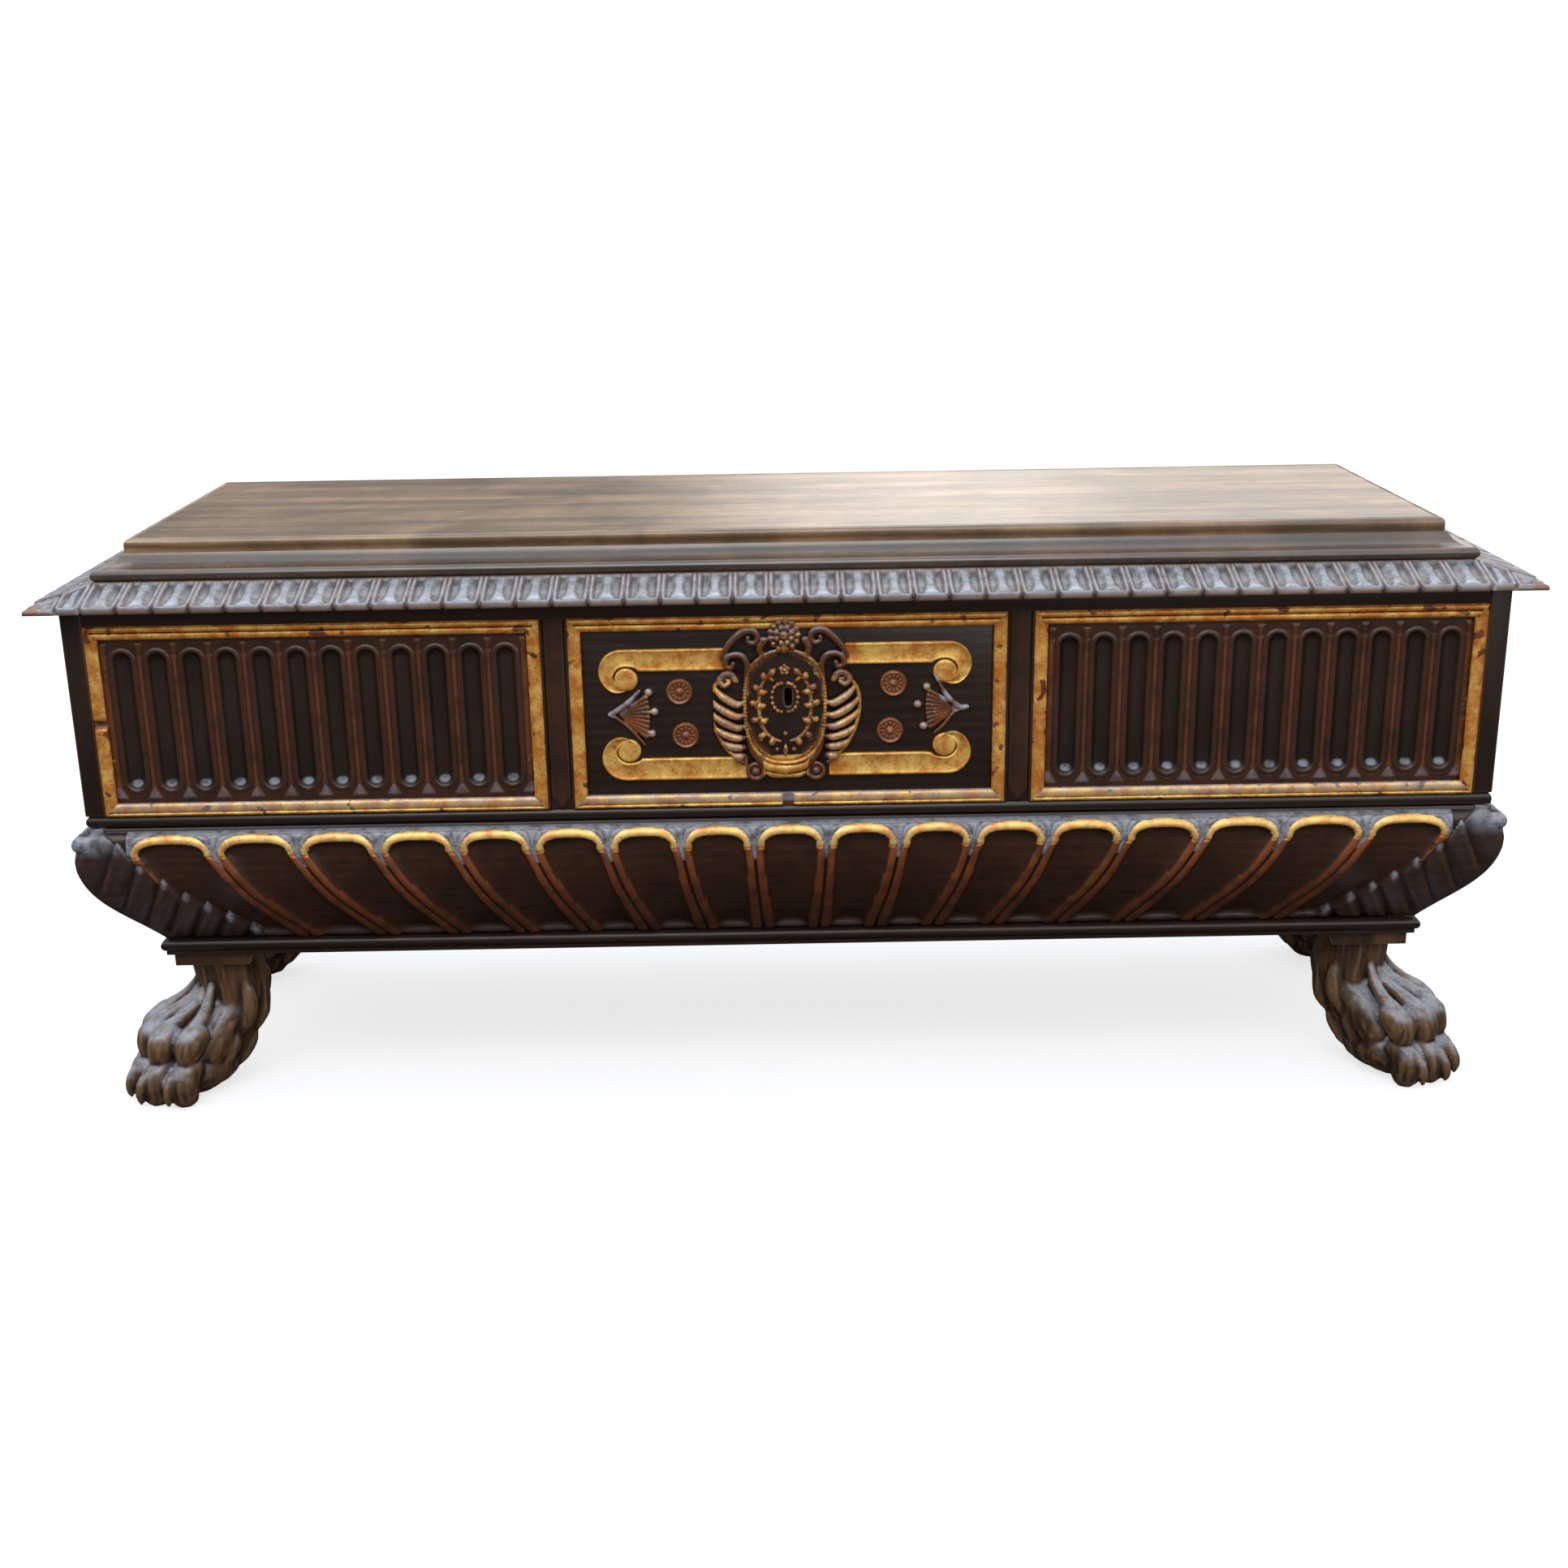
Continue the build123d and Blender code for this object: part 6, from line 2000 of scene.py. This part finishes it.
def make_cartouche(sizes):
    """The carved cartouche: a field in a rim, ribbed wings, scrolls and a flower over it."""
    bm = bmesh.new()
    place = panel_place(CARTOUCHE_X * MM, BAY_MIDDLE + CARTOUCHE_Z * MM)
    for run in (*cartouche_runs(), *device_runs()):
        for side_run in (run, mirrored(run)):
            bead_run(bm, side_run, place, steps=5)
    for run in crest_runs():
        bead_run(bm, run, place, steps=4)
    bm = fused(bm, sizes.cartouche_voxel, 1)
    cut_flat(bm, (0, PANEL_FACE, 0), (0, 1, 0))
    low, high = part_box("cartouche")
    for vert in bm.verts:
        vert.co.x = min(high.x, max(low.x, vert.co.x))
        vert.co.y = max(low.y, vert.co.y)
        vert.co.z = min(high.z, max(low.z, vert.co.z))
    join(bm, make_field(place))
    marks = marks_on(bm, "gilt", "bloom", "warm")
    to_local = place.inverted()
    for vert in bm.verts:
        local = to_local @ vert.co
        aside = abs(local.x)
        oval = math.hypot(aside / 47.5, (local.y + 3) / 70)
        raised = ease(4.8, 6.0, local.z)
        foot = ease(-58, -70, local.y) * (1.0 - ease(22, 32, aside))
        rim = ease(0.90, 0.95, oval) * (1 - ease(1.08, 1.16, oval))
        wing = ease(49, 53, aside) * ease(42, 34, local.y) * ease(-78, -70, local.y)
        device = 0.46 * raised * (1.0 - ease(0.84, 0.92, oval))
        crest = 0.45 * ease(64, 70, local.y) * (1.0 - ease(22, 26, aside))
        upper = 0.36 * ease(30, 44, local.y)
        gilt = max(0.9 * foot, 0.47 * rim, 0.50 * wing, device, crest, upper)
        # Painted highlight on the upward faces of the top scrolls and the crest, and on the high
        # backs of the wings' ribs
        top = ease(50, 70, local.y) * ease(0.1, 0.8, vert.normal.z)
        bloom = max(0.7 * top, 0.35 * wing * ease(7.5, 10.5, local.z))
        ground = local.z < 4.9 and oval < 0.95
        mark(vert, marks, gilt=gilt, bloom=bloom, warm=0.0 if ground else 0.45)
    mark_ridges(bm, 0.0022, 2)
    walnut = wood("cartouche walnut")
    finished(bm, "cartouche_carving", "case", "carved_walnut", walnut, ("cartouche",), sharp=0)


class CassoneOrnament(bpy.types.Operator):
    """Carve the cartouche, straps, rosettes and fans of the middle panel"""

    bl_idname = "cassone.ornament"
    bl_label = "Middle panel ornament"

    def execute(self, context):
        """Make every ornament of the middle panel."""
        for end in ("left", "right"):
            make_straps(end)
            make_fan(end)
        make_rosettes()
        make_cartouche(context.scene.cassone_carving)
        return {"FINISHED"}


# ------------------------------------------------------------------ stage
def stage_finish():
    """White paper to the eye, which throws back only the dim brown light of a room's floor."""
    material, tree = new_finish("paper")
    place = tree.add("ShaderNodeTexCoord").outputs["Object"]
    tone = tree.mix(tree.cloud(place, 3.0), (0.27, 0.27, 0.28, 1.0), (0.30, 0.30, 0.30, 1.0))
    paper = tree.add("ShaderNodeBsdfDiffuse", {"Color": tone})
    glow = tree.add("ShaderNodeEmission", {"Color": (1.0, 1.0, 1.0, 1.0), "Strength": 0.72})
    seen = tree.add("ShaderNodeAddShader", {0: paper.outputs[0], 1: glow.outputs[0]})
    dim = tree.add("ShaderNodeBsdfDiffuse", {"Color": (0.11, 0.08, 0.06, 1.0)})
    eye = tree.add("ShaderNodeLightPath").outputs["Is Camera Ray"]
    both = tree.add("ShaderNodeMixShader", {0: eye, 1: dim.outputs[0], 2: seen.outputs[0]})
    tree.add("ShaderNodeOutputMaterial", {"Surface": both.outputs[0]})
    return material


LOOKED_AT = (0.0, 0.0, 0.4)   # the middle of the chest, where both lights point


def add_light(name, place, size, power, tint):
    """A soft rectangular light that points at the chest."""
    light = bpy.data.lights.new(name, "AREA")
    light.shape = "RECTANGLE"
    light.size, light.size_y = size
    light.energy = power
    light.color = tint
    lamp = bpy.data.objects.new(name, light)
    lamp.location = place
    toward = Vector(LOOKED_AT) - Vector(place)
    lamp.rotation_euler = toward.to_track_quat("-Z", "Y").to_euler()
    lamp.visible_camera = False
    bpy.context.scene.collection.objects.link(lamp)
    return lamp


def make_surroundings(settings):
    """White to the eye; for light, a pale ceiling over a dim room with a window at the back."""
    world = bpy.data.worlds.new("surroundings")
    world.use_nodes = True
    world.node_tree.nodes.clear()
    tree = Tree(world.node_tree)
    toward = tree.add("ShaderNodeTexCoord").outputs["Generated"]
    x, y, z = tree.add("ShaderNodeSeparateXYZ", {0: toward}).outputs
    ceiling = tree.rise(z, 0.12, 0.72, 0.2, 1.75)
    right = tree.maths("MULTIPLY", tree.rise(x, -0.12, 0.24), tree.rise(z, 0.6, 0.25))
    centre = tree.maths("MULTIPLY", tree.rise(x, -0.08, 0.03), tree.rise(x, 0.22, 0.09))
    glow = tree.maths("MULTIPLY", tree.maths("ADD", right, centre), 0.95)
    glow = tree.maths("MULTIPLY", glow, tree.rise(y, 0.3, 0.85))
    strength = tree.maths("ADD", ceiling, glow)
    strength = tree.maths("MULTIPLY", strength, tree.rise(z, -0.06, 0.04, 0.5, 1.0))
    strength = tree.maths("MULTIPLY", strength, settings.sky)
    tint = tree.mix(tree.rise(z, 0.05, 0.6), (1.0, 0.9, 0.8, 1.0), (0.88, 0.94, 1.0, 1.0))
    room = tree.add("ShaderNodeBackground", {"Color": tint, "Strength": strength})
    white = tree.add("ShaderNodeBackground", {"Color": (1.0, 1.0, 1.0, 1.0), "Strength": 1.0})
    eye = tree.add("ShaderNodeLightPath").outputs["Is Camera Ray"]
    both = tree.add("ShaderNodeMixShader", {0: eye, 1: room.outputs[0], 2: white.outputs[0]})
    tree.add("ShaderNodeOutputWorld", {"Surface": both.outputs[0]})
    bpy.context.scene.world = world


class CassoneStageMaker(bpy.types.Operator):
    """Set up the floor, the soft light and the camera"""

    bl_idname = "cassone.stage"
    bl_label = "Stage"

    def execute(self, context):
        """Make the stage."""
        settings = context.scene.cassone_stage
        bm = bmesh.new()
        bmesh.ops.create_grid(bm, x_segments=2, y_segments=2, size=12.0)
        mesh = bpy.data.meshes.new("floor")
        bm.to_mesh(mesh)
        bm.free()
        mesh.materials.append(stage_finish())
        floor = bpy.data.objects.new("floor", mesh)
        context.scene.collection.objects.link(floor)
        make_surroundings(settings)

        power = settings.key_power
        add_light("key", (-0.9, -2.3, 3.1), (3.4, 1.8), power, (0.96, 0.98, 1.0))
        add_light("fill", (1.8, -3.2, 1.5), (2.0, 1.6), 0.3 * power, (1.0, 0.95, 0.88))

        data = bpy.data.cameras.new("camera")
        data.lens = settings.lens
        data.sensor_width = 36.0
        data.clip_start = 0.1
        data.clip_end = 100.0
        camera = bpy.data.objects.new("camera", data)
        turn = Matrix.Rotation(-math.radians(settings.yaw), 4, "Z")
        turn = turn @ Matrix.Rotation(math.pi / 2 - math.radians(settings.pitch), 4, "X")
        turn = turn @ Matrix.Rotation(math.radians(settings.roll), 4, "Z")
        place = Matrix.Translation((settings.camera_x, settings.camera_y, settings.camera_z))
        camera.matrix_world = place @ turn
        context.scene.collection.objects.link(camera)
        context.scene.camera = camera
        context.scene.view_settings.view_transform = "Standard"
        return {"FINISHED"}


class CASSONE_PT_panel(bpy.types.Panel):
    """Lists what the chest is made of."""

    bl_label = "Cassone"
    bl_idname = "CASSONE_PT_panel"
    bl_space_type = "VIEW_3D"
    bl_region_type = "UI"
    bl_category = "Cassone"

    def draw(self, context):
        """Draw the buttons and the sizes."""
        for maker in MAKERS:
            self.layout.operator(maker.bl_idname)
        for name, settings in GROUPS.items():
            box = self.layout.box()
            for key in settings.__annotations__:
                box.prop(getattr(context.scene, name), key)


MAKERS = (
    CassoneStageMaker,
    CassoneBelly,
    CassoneLid,
    CassoneFlutes,
    CassoneGilding,
    CassoneCase,
    CassoneOrnament,
    CassoneFeet,
    CassoneIronwork,
)
GROUPS = {
    "cassone_carving": CassoneCarving,
    "cassone_colours": CassoneColours,
    "cassone_stage": CassoneStage,
}


def register():
    """Register every class and hang the settings on the scene."""
    for group in (*GROUPS.values(), *MAKERS, CASSONE_PT_panel):
        bpy.utils.register_class(group)
    for name, group in GROUPS.items():
        setattr(bpy.types.Scene, name, PointerProperty(type=group))


def unregister():
    """Take everything back out."""
    for name in GROUPS:
        delattr(bpy.types.Scene, name)
    for group in reversed((*GROUPS.values(), *MAKERS, CASSONE_PT_panel)):
        bpy.utils.unregister_class(group)


def main():
    """Build the whole chest."""
    register()
    for maker in MAKERS:
        module, action = maker.bl_idname.split(".")
        getattr(getattr(bpy.ops, module), action)()


if __name__ == "__main__":
    main()
